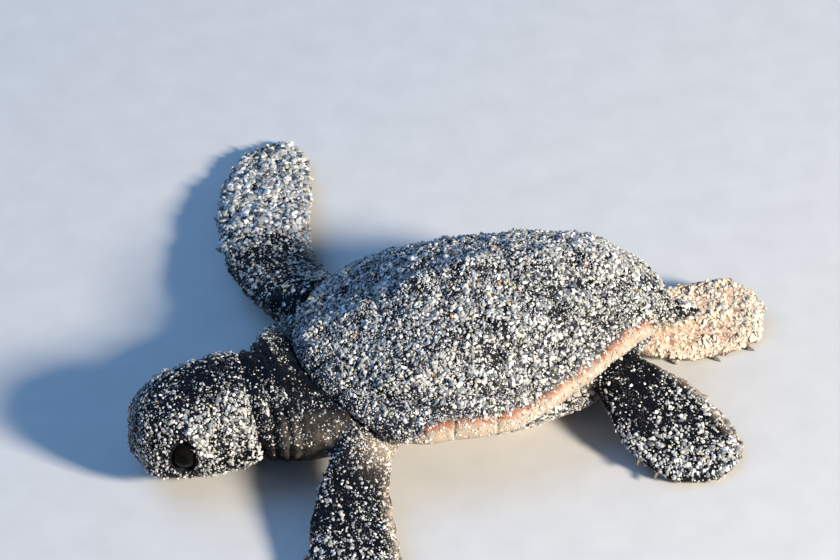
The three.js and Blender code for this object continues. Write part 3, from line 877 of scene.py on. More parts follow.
    def mark(self) -> None:
        """Writes the attributes that the skin's material and the sand read."""
        x, y, z = self.places.T
        under = smoothstep(0.2, -0.75, self.normals[:, 2])
        sole = np.zeros(len(self.places))
        pale = np.zeros(len(self.places))
        for region, limb in zip(LIMB_REGIONS, LIMBS):
            here = self.within(region)
            share = self.reach[region][here]
            lead = self.lead_of(limb, self.places[here], share)
            fringe = smoothstep(-0.66, -0.98, lead + 0.06 * fine_noise(self.places[here], 2.0, 2))
            pale[here] = fringe * smoothstep(0.2, 0.45, share) * 0.9
            if region is Region.HIND_RIGHT:
                sole[here] = smoothstep(0.16, 0.34, share) * smoothstep(0.0, 0.3, self.normals[here][:, 2])
        below = under * (0.65 + 0.35 * smoothstep(-0.3, 0.4, fine_noise(self.places, 3.5, 3)))
        limbs, head = self.within(*LIMB_REGIONS), self.within(Region.HEAD, Region.NECK)
        low = smoothstep(-0.7, -0.95, self.normals[:, 2])
        light = np.where(limbs, 0.55 * below, np.where(head, 0.3 * low, 0.35 * below))
        pale = np.maximum(pale, light * (z < 6.5))
        armpit = bell(np.hypot(np.abs(x) - 15.8, y + 15.0), 2.6)
        pale = np.maximum(pale, 0.45 * armpit * smoothstep(9.0, 6.5, z))
        neck = self.within(Region.NECK, Region.TRUNK)
        scuffed = neck * smoothstep(6.5, 9.0, np.abs(x - 4.0))
        worn = 0.05 + 0.09 * smoothstep(-0.3, 0.4, fine_noise(self.places, 1.6, 3))
        pale = np.maximum(pale, scuffed * worn * smoothstep(-14.0, -18.0, y))
        _, ahead, up = HEAD.local(self.places).T
        horn = self.within(Region.HEAD) * smoothstep(-5.6, -6.8, ahead) * smoothstep(2.4, 1.2, up)
        store(self.form, "pale", np.clip(pale, 0, 1))
        store(self.form, "sole", self.spread(sole > 0.5, 3) if sole.any() else sole)
        store(self.form, "horn", self.spread(horn > 0.5, 2))
        store(self.form, "crack", np.clip(self.crack, 0, 1))
        store(self.form, "dust", np.where(neck, 0.6, 0.9))


# ------------------------ finishes


class Graph:
    """A node tree under construction, with short ways to add what materials and modifiers share."""

    def __init__(self, tree: bpy.types.NodeTree) -> None:
        """Starts on a node tree."""
        self.tree = tree

    def add(self, kind: str, inputs: dict[object, object], **settings: object) -> bpy.types.Node:
        """Adds a node of a kind, sets its properties and feeds its inputs, by name or by number."""
        node = self.tree.nodes.new(kind)
        for name, value in settings.items():
            setattr(node, name, value)
        self.feed(node, inputs)
        return node

    def feed(self, node: bpy.types.Node, inputs: dict[object, object]) -> None:
        """Links each input of a node to a socket, or sets its constant."""
        for key, value in inputs.items():
            if isinstance(value, Socket):
                self.tree.links.new(value, node.inputs[key])
            else:
                node.inputs[key].default_value = value

    def maths(self, operation: str, *values: object) -> Socket:
        """Returns what an operation makes of one, two or three values."""
        return self.add("ShaderNodeMath", dict(enumerate(values)), operation=operation).outputs[0]

    def plus(self, first: object, second: object) -> Socket:
        """Returns the sum of two values."""
        return self.maths("ADD", first, second)

    def minus(self, first: object, second: object) -> Socket:
        """Returns the difference of two values."""
        return self.maths("SUBTRACT", first, second)

    def times(self, first: object, second: object) -> Socket:
        """Returns the product of two values."""
        return self.maths("MULTIPLY", first, second)


class Nodes(Graph):
    """A material under construction, with short ways to add the nodes that the finishes share."""

    def __init__(self, name: str) -> None:
        """Starts a material that has only its output and its Principled surface."""
        self.material = bpy.data.materials.new(name)
        self.material.use_nodes = True
        super().__init__(self.material.node_tree)
        self.shader = self.tree.nodes["Principled BSDF"]
        self.place = self.tree.nodes.new("ShaderNodeTexCoord").outputs["Object"]

    def attribute(self, name: str) -> Socket:
        """Returns a named number of the mesh."""
        return self.add("ShaderNodeAttribute", {}, attribute_name=name).outputs["Fac"]

    def noise(self, scale: float, detail: float, rough: float = 0.5) -> Socket:
        """Returns soft noise; scale is in features a metre."""
        inputs = {"Vector": self.place, "Scale": scale, "Detail": detail, "Roughness": rough}
        return self.add("ShaderNodeTexNoise", inputs).outputs["Fac"]

    def cells(self, scale: float) -> Socket:
        """Returns how far each place is from the middle of its cell; scale is in cells a metre."""
        return self.add("ShaderNodeTexVoronoi", {"Vector": self.place, "Scale": scale}).outputs["Distance"]

    def stretch(self, value: Socket, low: float, high: float) -> Socket:
        """Returns the value moved from this range to 0 and 1, and kept inside them."""
        inputs = {"Value": value, "From Min": low, "From Max": high}
        return self.add("ShaderNodeMapRange", inputs).outputs["Result"]

    def wear(self, scale: float, detail: float, low: float, high: float) -> Socket:
        """Returns a roughness that wanders between two values; scale is in features a metre."""
        spread = self.stretch(self.noise(scale, detail), 0.3, 0.7)
        self.feed(spread.node, {"To Min": low, "To Max": high})
        return spread

    def ramp(self, value: Socket, *stops: tuple[float, Colour]) -> Socket:
        """Returns a colour read from a row of stops."""
        node = self.add("ShaderNodeValToRGB", {"Fac": value})
        elements = node.color_ramp.elements
        while len(elements) < len(stops):
            elements.new(0.5)
        for element, (at, colour) in zip(elements, stops):
            element.position = at
            element.color = colour
        return node.outputs["Color"]

    def mix(self, share: object, first: object, second: object, blend: str = "MIX") -> Socket:
        """Returns two colours mixed."""
        inputs = {"Factor": share, 6: first, 7: second}
        return self.add("ShaderNodeMix", inputs, data_type="RGBA", blend_type=blend).outputs[2]

    def bump(self, height: Socket, distance: float, strength: float) -> Socket:
        """Returns the normals of a relief; distance is in metres."""
        inputs = {"Strength": strength, "Distance": distance, "Height": height}
        return self.add("ShaderNodeBump", inputs).outputs["Normal"]

    def surface(self, base: object, rough: object, normal: Socket | None = None, **others: float) -> None:
        """Sets the surface's colour, roughness and normals, and others by the shader's socket name."""
        self.feed(self.shader, {"Base Color": base, "Roughness": rough})
        if normal is not None:
            self.feed(self.shader, {"Normal": normal})
        self.feed(self.shader, {name.replace("_", " "): value for name, value in others.items()})


@dataclass(frozen=True)
class HideFinish:
    """Dark pebbled hide with pale undersides, a tan sole and a dark horny beak."""

    dark: Colour = (0.0020, 0.0026, 0.0042, 1)
    worn: Colour = (0.0052, 0.0064, 0.0098, 1)
    pale: Colour = (0.42, 0.30, 0.22, 1)
    cream: Colour = (0.60, 0.50, 0.38, 1)
    sole: Colour = (0.50, 0.32, 0.23, 1)
    sole_light: Colour = (0.64, 0.48, 0.37, 1)
    horn: Colour = (0.010, 0.009, 0.009, 1)
    crack: Colour = (0.0025, 0.0025, 0.0035, 1)
    dust: Colour = (0.46, 0.45, 0.43, 1)

    def material(self) -> Material:
        """Builds the hide's material."""
        n = Nodes("hide")
        skin = n.ramp(n.noise(420.0, 4.0, 0.6), (0.36, self.dark), (0.68, self.worn))
        belly = n.ramp(n.noise(900.0, 3.0), (0.35, self.pale), (0.65, self.cream))
        skin = n.mix(n.attribute("pale"), skin, belly)
        sole = n.ramp(n.noise(700.0, 4.0), (0.35, self.sole), (0.66, self.sole_light))
        skin = n.mix(n.attribute("sole"), skin, sole)
        skin = n.mix(n.attribute("horn"), skin, self.horn)
        skin = n.mix(n.times(n.attribute("crack"), 0.65), skin, self.crack)
        specks = n.stretch(n.cells(5200.0), 0.20, 0.12)
        where = n.stretch(n.noise(520.0, 3.0), 0.40, 0.58)
        dusty = n.times(n.times(specks, where), n.attribute("dust"))
        colour = n.mix(dusty, skin, self.dust)
        pebbles = n.stretch(n.cells(2600.0), 0.0, 0.5)
        height = n.plus(pebbles, n.times(n.noise(6200.0, 3.0), 0.6))
        rough = n.wear(1500.0, 3.0, 0.42, 0.66)
        n.surface(colour, rough, n.bump(height, 0.00008, 0.7), Specular_IOR_Level=0.08)
        return n.material


@dataclass(frozen=True)
class ScuteFinish:
    """Dull black-grey horn with a paler, worn grain and fine dust."""

    dark: Colour = (0.0034, 0.0038, 0.0054, 1)
    grey: Colour = (0.010, 0.011, 0.0138, 1)
    dust: Colour = (0.42, 0.41, 0.39, 1)

    def material(self) -> Material:
        """Builds the material of the plates over the back."""
        n = Nodes("scute_horn")
        horn = n.ramp(n.noise(620.0, 4.0, 0.62), (0.34, self.dark), (0.7, self.grey))
        specks = n.stretch(n.cells(5600.0), 0.26, 0.14)
        where = n.stretch(n.noise(700.0, 3.0), 0.36, 0.56)
        colour = n.mix(n.times(specks, where), horn, self.dust)
        height = n.plus(n.noise(2600.0, 4.0), n.times(n.cells(3800.0), 0.5))
        rough = n.wear(1800.0, 3.0, 0.5, 0.75)
        n.surface(colour, rough, n.bump(height, 0.0001, 0.7), Specular_IOR_Level=0.15)
        return n.material


@dataclass(frozen=True)
class RimFinish:
    """The shell's edge: dark above, an orange-brown line along the corner and cream on its face."""

    dark: Colour = (0.006, 0.0065, 0.008, 1)
    brown: Colour = (0.08, 0.034, 0.020, 1)
    orange: Colour = (0.30, 0.10, 0.042, 1)
    cream: Colour = (0.44, 0.33, 0.235, 1)
    pale: Colour = (0.41, 0.35, 0.27, 1)

    def material(self) -> Material:
        """Builds the material of the shell's edge."""
        n = Nodes("shell_edge_horn")
        out = n.attribute("out")
        below = n.attribute("below")
        stray = n.times(n.minus(n.noise(480.0, 5.0, 0.68), 0.5), 0.085)
        reach = n.plus(out, stray)
        dropped = n.plus(below, n.times(stray, 9.0))
        corner = (0.54, self.brown), (0.66, self.orange), (0.84, self.cream)
        upper = n.ramp(n.stretch(reach, 0.87, 1.0), (0.0, self.dark), (0.42, self.dark), *corner)
        face = n.ramp(n.stretch(dropped, 0.4, 2.4), (0.0, self.cream), (0.7, self.pale))
        colour = n.mix(n.stretch(dropped, 0.45, 0.75), upper, face)
        blotch = n.ramp(n.noise(1300.0, 4.0, 0.6), (0.35, (0.62, 0.58, 0.55, 1)), (0.62, (1, 1, 1, 1)))
        colour = n.mix(0.6, colour, blotch, "MULTIPLY")
        height = n.plus(n.noise(3000.0, 4.0), n.times(n.cells(4200.0), 0.4))
        rough = n.wear(1800.0, 3.0, 0.42, 0.66)
        n.surface(colour, rough, n.bump(height, 0.0001, 0.6), Specular_IOR_Level=0.3)
        return n.material


@dataclass(frozen=True)
class PlastronFinish:
    """Cream horn clouded with brown; its turned-up sides are painted black as shade under the shell's edge.
    """

    cream: Colour = (0.62, 0.50, 0.34, 1)
    brown: Colour = (0.26, 0.14, 0.075, 1)
    # painted shade: the black that the turned-up sides take, for the shadow under the shell's edge
    lip: Colour = (0.012, 0.012, 0.014, 1)

    def material(self) -> Material:
        """Builds the material of the belly's shield."""
        n = Nodes("belly_horn")
        clouds = n.ramp(n.noise(230.0, 5.0, 0.6), (0.34, self.brown), (0.52, self.cream))
        # paints the turned-up sides black, painted shade under the shell's edge
        clouds = n.mix(n.attribute("lip"), clouds, self.lip)
        flecks = n.ramp(n.noise(2400.0, 3.0), (0.3, (0.7, 0.66, 0.6, 1)), (0.6, (1, 1, 1, 1)))
        colour = n.mix(0.7, clouds, flecks, "MULTIPLY")
        rough = n.wear(1500.0, 3.0, 0.4, 0.62)
        n.surface(colour, rough, n.bump(n.noise(2600.0, 4.0), 0.00009, 0.6), Specular_IOR_Level=0.45)
        return n.material


@dataclass(frozen=True)
class EyeFinish:
    """A wet eye: black pupil, very dark brown iris and a dark rim."""

    pupil: Colour = (0.002, 0.002, 0.003, 1)
    iris: Colour = (0.006, 0.0045, 0.0035, 1)
    rim: Colour = (0.004, 0.0035, 0.0035, 1)

    def material(self) -> Material:
        """Builds the eye's material."""
        n = Nodes("wet_eye")
        streaks = n.times(n.minus(n.noise(2600.0, 3.0), 0.5), 5.0)
        angle = n.stretch(n.plus(n.attribute("from_pupil"), streaks), 0.0, 90.0)
        rings = (0.0, self.pupil), (0.19, self.pupil), (0.23, self.iris), (0.42, self.iris), (0.5, self.rim)
        rough = n.wear(900.0, 2.0, 0.03, 0.06)
        n.surface(n.ramp(angle, *rings), rough, Specular_IOR_Level=0.05)
        return n.material


@dataclass(frozen=True)
class ClawFinish:
    """Dark brown horn that fades to a pale tip."""

    horn: Colour = (0.045, 0.035, 0.028, 1)
    pale: Colour = (0.20, 0.155, 0.12, 1)

    def material(self) -> Material:
        """Builds the claws' material."""
        n = Nodes("claw_horn")
        colour = n.ramp(n.noise(1600.0, 3.0), (0.36, self.horn), (0.68, self.pale))
        rough = n.wear(2400.0, 2.0, 0.28, 0.45)
        n.surface(colour, rough, n.bump(n.noise(5000.0, 3.0), 0.00004, 0.5), Specular_IOR_Level=0.5)
        return n.material


# ------------------------ studio


@dataclass(frozen=True)
class Lamp:
    """A soft square lamp that looks at the animal."""

    name: str
    azimuth: float  # degrees, as the camera's
    elevation: float
    distance: float  # metres
    side: float  # metres
    power: float  # watts
    colour: Triple


@dataclass
class Studio:
    """The pale floor, the soft lamps and the camera."""

    datum: Datum
    azimuth: float = 80.0  # the camera's angles, in degrees
    elevation: float = 38.0
    roll: float = -4.3
    distance: float = 0.6  # metres
    lens: float = 222.4
    sensor: float = 36.0
    floor_half: float = 3.0  # metres
    aim: Triple = (-3.90, -6.34, 13.71)
    floor_colour: Triple = (0.62, 0.60, 0.57)
    lamps: tuple[Lamp, ...] = (
        Lamp("key_lamp", 131.0, 23.0, 0.75, 0.12, 13.0, (1.0, 0.92, 0.79)),
        Lamp("sky_lamp", -40.0, 48.0, 0.8, 0.8, 3.8, (0.22, 0.50, 1.0)),
    )
    sky: Triple = (0.31, 0.53, 0.95)
    sky_strength: float = 0.29

    def stand(self, name: str, data: bpy.types.ID, angles: Triple, distance: float) -> Object:
        """Stands a lamp or the camera at an azimuth, elevation and roll, so that it looks at the aim."""
        made = bpy.data.objects.new(name, data)
        bpy.context.scene.collection.objects.link(made)
        a, e, roll = map(math.radians, angles)
        back = Vector((math.sin(a) * math.cos(e), -math.cos(a) * math.cos(e), math.sin(e)))
        made.location = Vector(self.datum.metres(self.aim)) + back * distance
        level = (-back).to_track_quat("-Z", "Y").to_matrix()
        made.rotation_euler = (level @ Matrix.Rotation(roll, 3, "Z")).to_euler()
        return made

    def build(self) -> None:
        """Builds the floor, the lamps, the sky and the camera."""
        self.lay_floor()
        for lamp in self.lamps:
            self.hang(lamp)
        self.tint_sky()
        self.place_camera()

    def lay_floor(self) -> None:
        """Lays a wide, plain, pale floor under the animal."""
        half = self.floor_half
        mesh = bpy.data.meshes.new("floor")
        corners = [(-half, -half, 0), (half, -half, 0), (half, half, 0), (-half, half, 0)]
        mesh.from_pydata(corners, [], [(0, 1, 2, 3)])
        floor = object_of("floor", mesh)
        tree = Nodes("floor_paint")
        tone = tree.ramp(tree.noise(220.0, 4.0), (0.3, self.shaded(0.96)), (0.7, self.shaded(1.03)))
        tree.surface(tone, 0.85)
        mesh.materials.append(tree.material)

    def shaded(self, share: float) -> tuple[float, float, float, float]:
        """Returns the floor's colour, lighter or darker by a share."""
        return (*(c * share for c in self.floor_colour), 1.0)

    def hang(self, lamp: Lamp) -> None:
        """Hangs one soft lamp and turns it towards the animal."""
        data = bpy.data.lights.new(lamp.name, "AREA")
        data.shape = "SQUARE"
        data.size = lamp.side
        data.energy = lamp.power
        data.color = lamp.colour
        self.stand(lamp.name, data, (lamp.azimuth, lamp.elevation, 0.0), lamp.distance)

    def tint_sky(self) -> None:
        """Gives the surroundings a dim cool light."""
        world = bpy.data.worlds.new("surroundings")
        bpy.context.scene.world = world
        world.use_nodes = True
        back = world.node_tree.nodes["Background"]
        back.inputs["Color"].default_value = (*self.sky, 1.0)
        back.inputs["Strength"].default_value = self.sky_strength

    def place_camera(self) -> None:
        """Sets the camera at its angle, with a long lens and a slight roll."""
        data = bpy.data.cameras.new("camera")
        data.lens = self.lens
        data.sensor_width = self.sensor
        data.clip_start, data.clip_end = 0.01, 20.0
        angles = (self.azimuth, self.elevation, self.roll)
        bpy.context.scene.camera = self.stand("camera", data, angles, self.distance)
        bpy.context.scene.view_settings.view_transform = "Standard"


# ------------------------ shell


def slab(plan_x: Array, plan_y: Array, top: Array, wall: float) -> tuple[Array, list[tuple[int, ...]]]:
    """Closes a grid of top points with a wall round it and a floor under it.

    Args:
        plan_x: x of each grid point.
        plan_y: y of each grid point.
        top: height of each grid point.
        wall: how far below its edge the floor of the piece lies.

    Returns:
        The points and the faces.
    """
    rows, columns = top.shape
    upper = np.stack([plan_x, plan_y, top], axis=2).reshape(-1, 3)
    lower = upper - np.array([0.0, 0.0, wall])
    faces = quad_grid(rows, columns)
    count = rows * columns
    floor = [tuple(count + k for k in reversed(face)) for face in faces]
    ring = list(range(columns))
    ring += [i * columns + columns - 1 for i in range(1, rows)]
    ring += [(rows - 1) * columns + j for j in range(columns - 2, -1, -1)]
    ring += [i * columns for i in range(rows - 2, 0, -1)]
    sides = [(a, b, count + b, count + a) for a, b in zip(ring, ring[1:] + ring[:1])]
    return np.vstack([upper, lower]), [*faces, *floor, *sides]


@dataclass
class Carapace:
    """The horny plates over the back, each a closed piece of its own, and the row along each edge."""

    datum: Datum
    grain: float = 0.3  # spacing of the plates' points
    across: int = 41  # points over the width of a vertebral plate
    costal_grid: int = 40  # points along each side of a costal plate
    sunk: float = 0.26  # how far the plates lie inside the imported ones, which is the sand's depth
    seam: float = 0.05  # half the gap between two plates
    shoulder: float = 0.65  # how far in from a seam a plate starts to round off
    drop: float = 0.34  # how far a plate's edge lies below its face
    wall: float = 0.9  # how far a plate's floor lies below its edge
    swell: float = 0.12  # how far the middle of a marginal plate stands out
    pieces: list[Object] = field(default_factory=list)

    def build(self) -> list[Object]:
        """Builds every plate of the carapace.

        Returns:
            The plates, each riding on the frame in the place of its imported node.
        """
        for number in range(5):
            self.plate(f"carapace_vertebral_{number + 1}", *self.vertebral(number))
            for side in Side:
                x, y = self.costal(number)
                self.plate(f"carapace_costal_{side.word}_{number + 1}", side.value * x, y)
        half = math.asin(SHELL.nuchal_half / (SHELL.width / 2 * 1.05))
        front, rear, gap = -math.pi / 2, math.pi / 2, 0.012
        self.edge_row("carapace_nuchal", front - half * 0.94, front + half * 0.94, 1)
        self.edge_row("carapace_marginals_left", front + half, rear - gap, SHELL.marginals)
        self.edge_row("carapace_marginals_right", rear + gap, rear + math.pi - half, SHELL.marginals)
        return self.pieces

    def band_point(self, bearing: Array) -> tuple[Array, Array]:
        """Returns the plan point on the line where the costal plates end."""
        return SHELL.on_share(SHELL.band, bearing)

    @staticmethod
    def crossing(inner: tuple[float, float], outer: tuple[float, float]) -> float:
        """Returns the bearing where a straight seam crosses the line that the costal plates end on."""
        t = np.linspace(0, 1, 4000)[:, None]
        line = np.array(inner) + (np.array(outer) - np.array(inner)) * t
        x, y = line[int(np.argmax(SHELL.outwards(line[:, 0], line[:, 1]) > SHELL.band))]
        return math.atan2(y / (SHELL.length / 2), x / float(SHELL.half_width(y)))

    def band_bearing(self, plate: int) -> float:
        """Returns the bearing where the seam behind a costal plate meets the marginal plates."""
        last = (SHELL.seam_halves[4], SHELL.seams[4])
        inner = last if plate == 4 else (SHELL.corners[plate], SHELL.middle(plate))
        return self.crossing(inner, (SHELL.far, SHELL.run_outs[plate]))

    def front_bearing(self) -> float:
        """Returns the bearing where the seam beside the first vertebral plate meets the front edge."""
        return self.crossing((SHELL.corners[0], SHELL.middle(0)), (SHELL.seam_halves[0], -SHELL.far))

    def vertebral(self, plate: int) -> tuple[Array, Array]:
        """Returns the plan grid of a vertebral plate, 0 at the front."""
        u = np.linspace(-1, 1, self.across)[None, :]
        if plate == 0:
            v = np.linspace(0, 1, 24)[:, None]
            start = self.front_bearing()
            front_x, front_y = self.band_point(-math.pi / 2 + u * (start + math.pi / 2))
            edge_y = front_y[0, -1] + (SHELL.seams[1] - front_y[0, -1]) * v
            knots = [front_y[0, -1], SHELL.middle(0), SHELL.seams[1]]
            half_at = np.interp(edge_y, knots, [front_x[0, -1], SHELL.corners[0], SHELL.seam_halves[1]])
            return u * half_at, front_y + (SHELL.seams[1] - front_y) * v
        if plate == 4:
            return self.last_vertebral(u)
        y0, y1 = SHELL.seams[plate : plate + 2]
        y = np.linspace(y0, y1, int((y1 - y0) / self.grain) + 2)[:, None]
        first, last = SHELL.seam_halves[plate : plate + 2]
        half_at = np.interp(y, [y0, SHELL.middle(plate), y1], [first, SHELL.corners[plate], last])
        return u * half_at, y + 0 * u

    def last_vertebral(self, u: Array) -> tuple[Array, Array]:
        """Returns the plan grid of the last vertebral plate, which widens to the marginal plates."""
        v = np.linspace(0, 1, 34)[:, None]
        far_x, far_y = self.band_point(math.pi / 2 - u * (math.pi / 2 - self.band_bearing(4)))
        near_x, near_y = u * SHELL.seam_halves[4], SHELL.seams[4] + 0 * u
        return near_x + (far_x - near_x) * v, near_y + (far_y - near_y) * v

    def costal(self, plate: int) -> tuple[Array, Array]:
        """Returns the plan grid of a costal plate on the left, 0 at the front."""
        steps = np.linspace(0, 1, self.costal_grid)
        u, v = steps[None, :], steps[:, None]
        if plate == 0:
            start = self.front_bearing()
            front_x, front_y = self.band_point(start)
            inner = [(float(front_x), float(front_y)), (SHELL.corners[0], SHELL.middle(0))]
        else:
            inner = [(SHELL.corners[plate - 1], SHELL.middle(plate - 1))]
            inner.append((SHELL.seam_halves[plate], SHELL.seams[plate]))
            if plate < 4:
                inner.append((SHELL.corners[plate], SHELL.middle(plate)))
            start = self.band_bearing(plate - 1)
        finish = self.band_bearing(plate)
        corners = np.array(inner)
        run = np.concatenate([[0], np.cumsum(np.linalg.norm(np.diff(corners, axis=0), axis=1))])
        near_x = np.interp(v * run[-1], run, corners[:, 0])
        near_y = np.interp(v * run[-1], run, corners[:, 1])
        far_x, far_y = self.band_point(start + (finish - start) * v)
        return near_x + (far_x - near_x) * u, near_y + (far_y - near_y) * u

    def face_height(self, x: Array, y: Array, from_edge: Array) -> Array:
        """Returns the height of a plate's face: the shell with its keels, rounded off by the seams."""
        fall = np.clip(1 - from_edge / self.shoulder, 0, 1)
        rounding = self.drop * (1 - np.sqrt(np.maximum(1 - fall**2, 0)))
        points = np.stack([x, y, 0 * x], axis=-1).reshape(-1, 3)
        grain = 0.05 * fine_noise(points, 1.0, 2).reshape(x.shape)
        return SHELL.top(x, y) + SHELL.keel(x, y) - self.sunk - rounding + grain

    def edge_distance(self, x: Array, y: Array) -> Array:
        """Returns how far each grid point is from the border of its grid."""
        grid = np.stack([x, y], axis=2)
        ring = np.concatenate([grid[0], grid[-1], grid[:, 0], grid[:, -1]])
        flat = grid.reshape(-1, 2)
        gaps = np.linalg.norm(flat[:, None] - ring[None], axis=2).min(axis=1)
        return gaps.reshape(x.shape)

    def plate(self, name: str, x: Array, y: Array) -> None:
        """Builds one plate from its plan grid, drawn in a little from its seams."""
        away = self.edge_distance(x, y)
        middle_x, middle_y = x.mean(), y.mean()
        reach = np.hypot(x - middle_x, y - middle_y) + 1e-9
        pull = self.seam * (away < 1e-6)
        x = x - (x - middle_x) / reach * pull
        y = y - (y - middle_y) / reach * pull
        points, faces = slab(x, y, self.face_height(x, y, away), self.wall)
        self.finish(name, points, faces)

    def edge_row(self, name: str, start: float, finish: float, plates: int) -> None:
        """Builds a row of marginal plates as one bar that is bent round the shell's edge."""
        steps = 26 * plates if plates > 1 else 60
        bearing = np.linspace(start, finish, steps + 1)[:, None]
        place = (np.linspace(0, plates, steps + 1) % 1.0)[:, None]
        mid = np.minimum(place, 1 - place)
        seam = bell(mid, 0.045) if plates > 1 else np.zeros_like(mid)
        bulge = np.sin(np.pi * place) ** 0.5
        out, height, lift = self.rim_section().T[:, None, :]
        rear = np.clip(np.sin(bearing), 0, 1)
        notch = SHELL.serration * (1 + rear) * (1 - bulge) * smoothstep(0.93, 0.99, out)
        x, y = SHELL.on_share(out * (1 - notch), bearing)
        smooth_x, smooth_y = SHELL.on_share(np.minimum(out, 1.0), bearing)
        inward = 1.0 - 0.012 * smoothstep(0.93, 0.99, out)
        z = SHELL.top(smooth_x, smooth_y) + height - self.sunk * lift
        z = z - self.drop * 0.8 * seam * lift + self.swell * bulge * lift
        points = np.stack([x * inward, y * inward, z], axis=2)
        self.finish(name, points.reshape(-1, 3), bar_faces(*points.shape[:2]))

    def rim_section(self) -> Array:
        """Returns the section of the edge: share out, height against the top, and how far it is upper."""
        inner = SHELL.band + 0.008
        over = [(share, 0.0, 1.0) for share in np.linspace(inner, 0.985, 12)]
        nose = [(1.0, -0.12, 1.0), (1.008, -0.42, 0.6), (1.01, -0.8, 0.2)]
        face = [(1.005, -1.2, 0.0), (0.992, -1.6, 0.0), (0.972, -1.86, 0.0)]
        under = [(0.94, -1.8, 0.0), (0.90, -1.6, 0.0), (inner, -1.3, 0.0)]
        return np.array([*over, *nose, *face, *under])

    def finish(self, name: str, points: Array, faces: Sequence[Sequence[int]]) -> None:
        """Makes the plate an object, with the attribute that its material reads."""
        mesh = mesh_from(self.datum.metres(points), faces)
        x, y, z = self.datum.read(mesh).T
        crusted = SHELL.crusted(y)
        store(mesh, "out", SHELL.outwards(x, y) - 0.11 * crusted)
        store(mesh, "below", (SHELL.top(x, y) - z) * (1 - 0.6 * crusted))
        self.pieces.append(settle(object_of(f"{name}_plate", mesh), (name,)))


@dataclass
class Plastron:
    """The belly's shield, with its seams pressed in."""

    datum: Datum
    length: float = 35.0
    width: float = 27.0
    wall: float = 1.66
    flat: float = 0.55  # share of the way out where the shield starts to turn up
    front: float = Datum.PLASTRON_FRONT
    girth: Along = Along(0.98, 0.98, 1.06, 1.12, 1.07, 0.94, 0.84)
    rise: Along = Along(1.6, 2.2, 5.0, 6.2, 4.6, 2.2, 1.4)
    cross_seams: tuple[float, ...] = (-12.8, -8.4, -2.6, 4.2, 10.6)
    sides: int = 160

    def build(self) -> Object:
        """Builds the plastron.

        Returns:
            The piece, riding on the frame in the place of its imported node.
        """
        bearing = round_about(self.sides)
        under = [(share, 0.0) for share in np.linspace(0.004, 0.97, 52)]
        lip = [(0.988, 0.14), (0.998, 0.42), (1.0, 0.78), (0.995, 1.18), (0.98, 1.5)]
        over = [(share, self.wall) for share in np.linspace(0.95, 0.004, 12)]
        section = np.array([*under, *lip, *over])
        out, height = section[:, :1], section[:, 1:]
        y = self.front + (1 + out * np.sin(bearing)) * self.length / 2
        share = np.clip((y - self.front) / self.length, 0, 1)
        x = out * np.cos(bearing) * self.width / 2 * self.girth(share)
        turned = np.clip((out - self.flat) / (1 - self.flat), 0, 1.2)
        z = self.rise(share) * turned**1.8 + height
        wander = 0.25 * fine_noise(np.stack([x, y, 0 * x], -1).reshape(-1, 3), 5.0, 2).reshape(x.shape)
        cuts = np.min([np.abs(y - seam - 0.05 * np.abs(x) + wander) for seam in self.cross_seams], axis=0)
        cuts = np.minimum(cuts, np.abs(x + wander * 0.6))
        bridge = np.abs(np.abs(x) - 9.3 + 0.012 * (y - 1.0) ** 2)
        cuts = np.minimum(cuts, np.where(np.abs(y - 0.5) < 9.0, bridge, 9.0))
        groove = bell(cuts, 0.2) * (height < 0.5)
        z = z + 0.16 * groove + 0.03
        points = np.stack([x, y + 0 * x, z], axis=2)
        mesh = mesh_from(self.datum.metres(points.reshape(-1, 3)), bar_faces(*points.shape[:2]))
        # marks the turned-up sides, where the finish paints black shade under the shell's edge
        store(mesh, "lip", smoothstep(1.2, 2.4, self.datum.read(mesh)[:, 2]))
        return settle(object_of("plastron_shield", mesh), ("plastron",))

    def outwards(self, points: Array) -> Array:
        """Returns how far out each point lies: 0 in the middle and 1 on the outline."""
        along = (points[:, 1] - self.front) / self.length
        half = self.width / 2 * self.girth(np.clip(along, 0, 1))
        return np.hypot(points[:, 0] / half, 2 * along - 1)


# ------------------------ eyes and claws


@dataclass
class Eye:
    """A wet dark eyeball that bulges a little at the cornea."""

    datum: Datum
    side: Side
    segments: int = 40
    rings: int = 26
    cornea: float = 0.14  # how far the cornea stands over the ball
    sunk: float = 0.06

    def build(self) -> Object:
        """Builds the eyeball.

        Returns:
            The piece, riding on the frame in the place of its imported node.
        """
        work = bmesh.new()
        bmesh.ops.create_uvsphere(work, u_segments=self.segments, v_segments=self.rings, radius=1.0)
        mesh = mesh_of(work, "eye")
        ball = coordinates(mesh)
        gaze = Vector(HEAD.gaze(self.side))
        turn = np.array(Vector((0, 0, 1)).rotation_difference(gaze).to_matrix())
        angle = np.degrees(np.arccos(np.clip(ball[:, 2], -1, 1)))
        radius = HEAD.eye_radius - self.sunk + self.cornea * bell(angle, 24.0)
        points = (ball @ turn.T) * radius[:, None]
        move_to(mesh, self.datum.metres(HEAD.placed(points + HEAD.eye(self.side))))
        store(mesh, "from_pupil", angle)
        smooth_shaded(mesh)
        name = f"eye_{self.side.word}"
        return settle(object_of(f"{name}_ball", mesh), (name,))


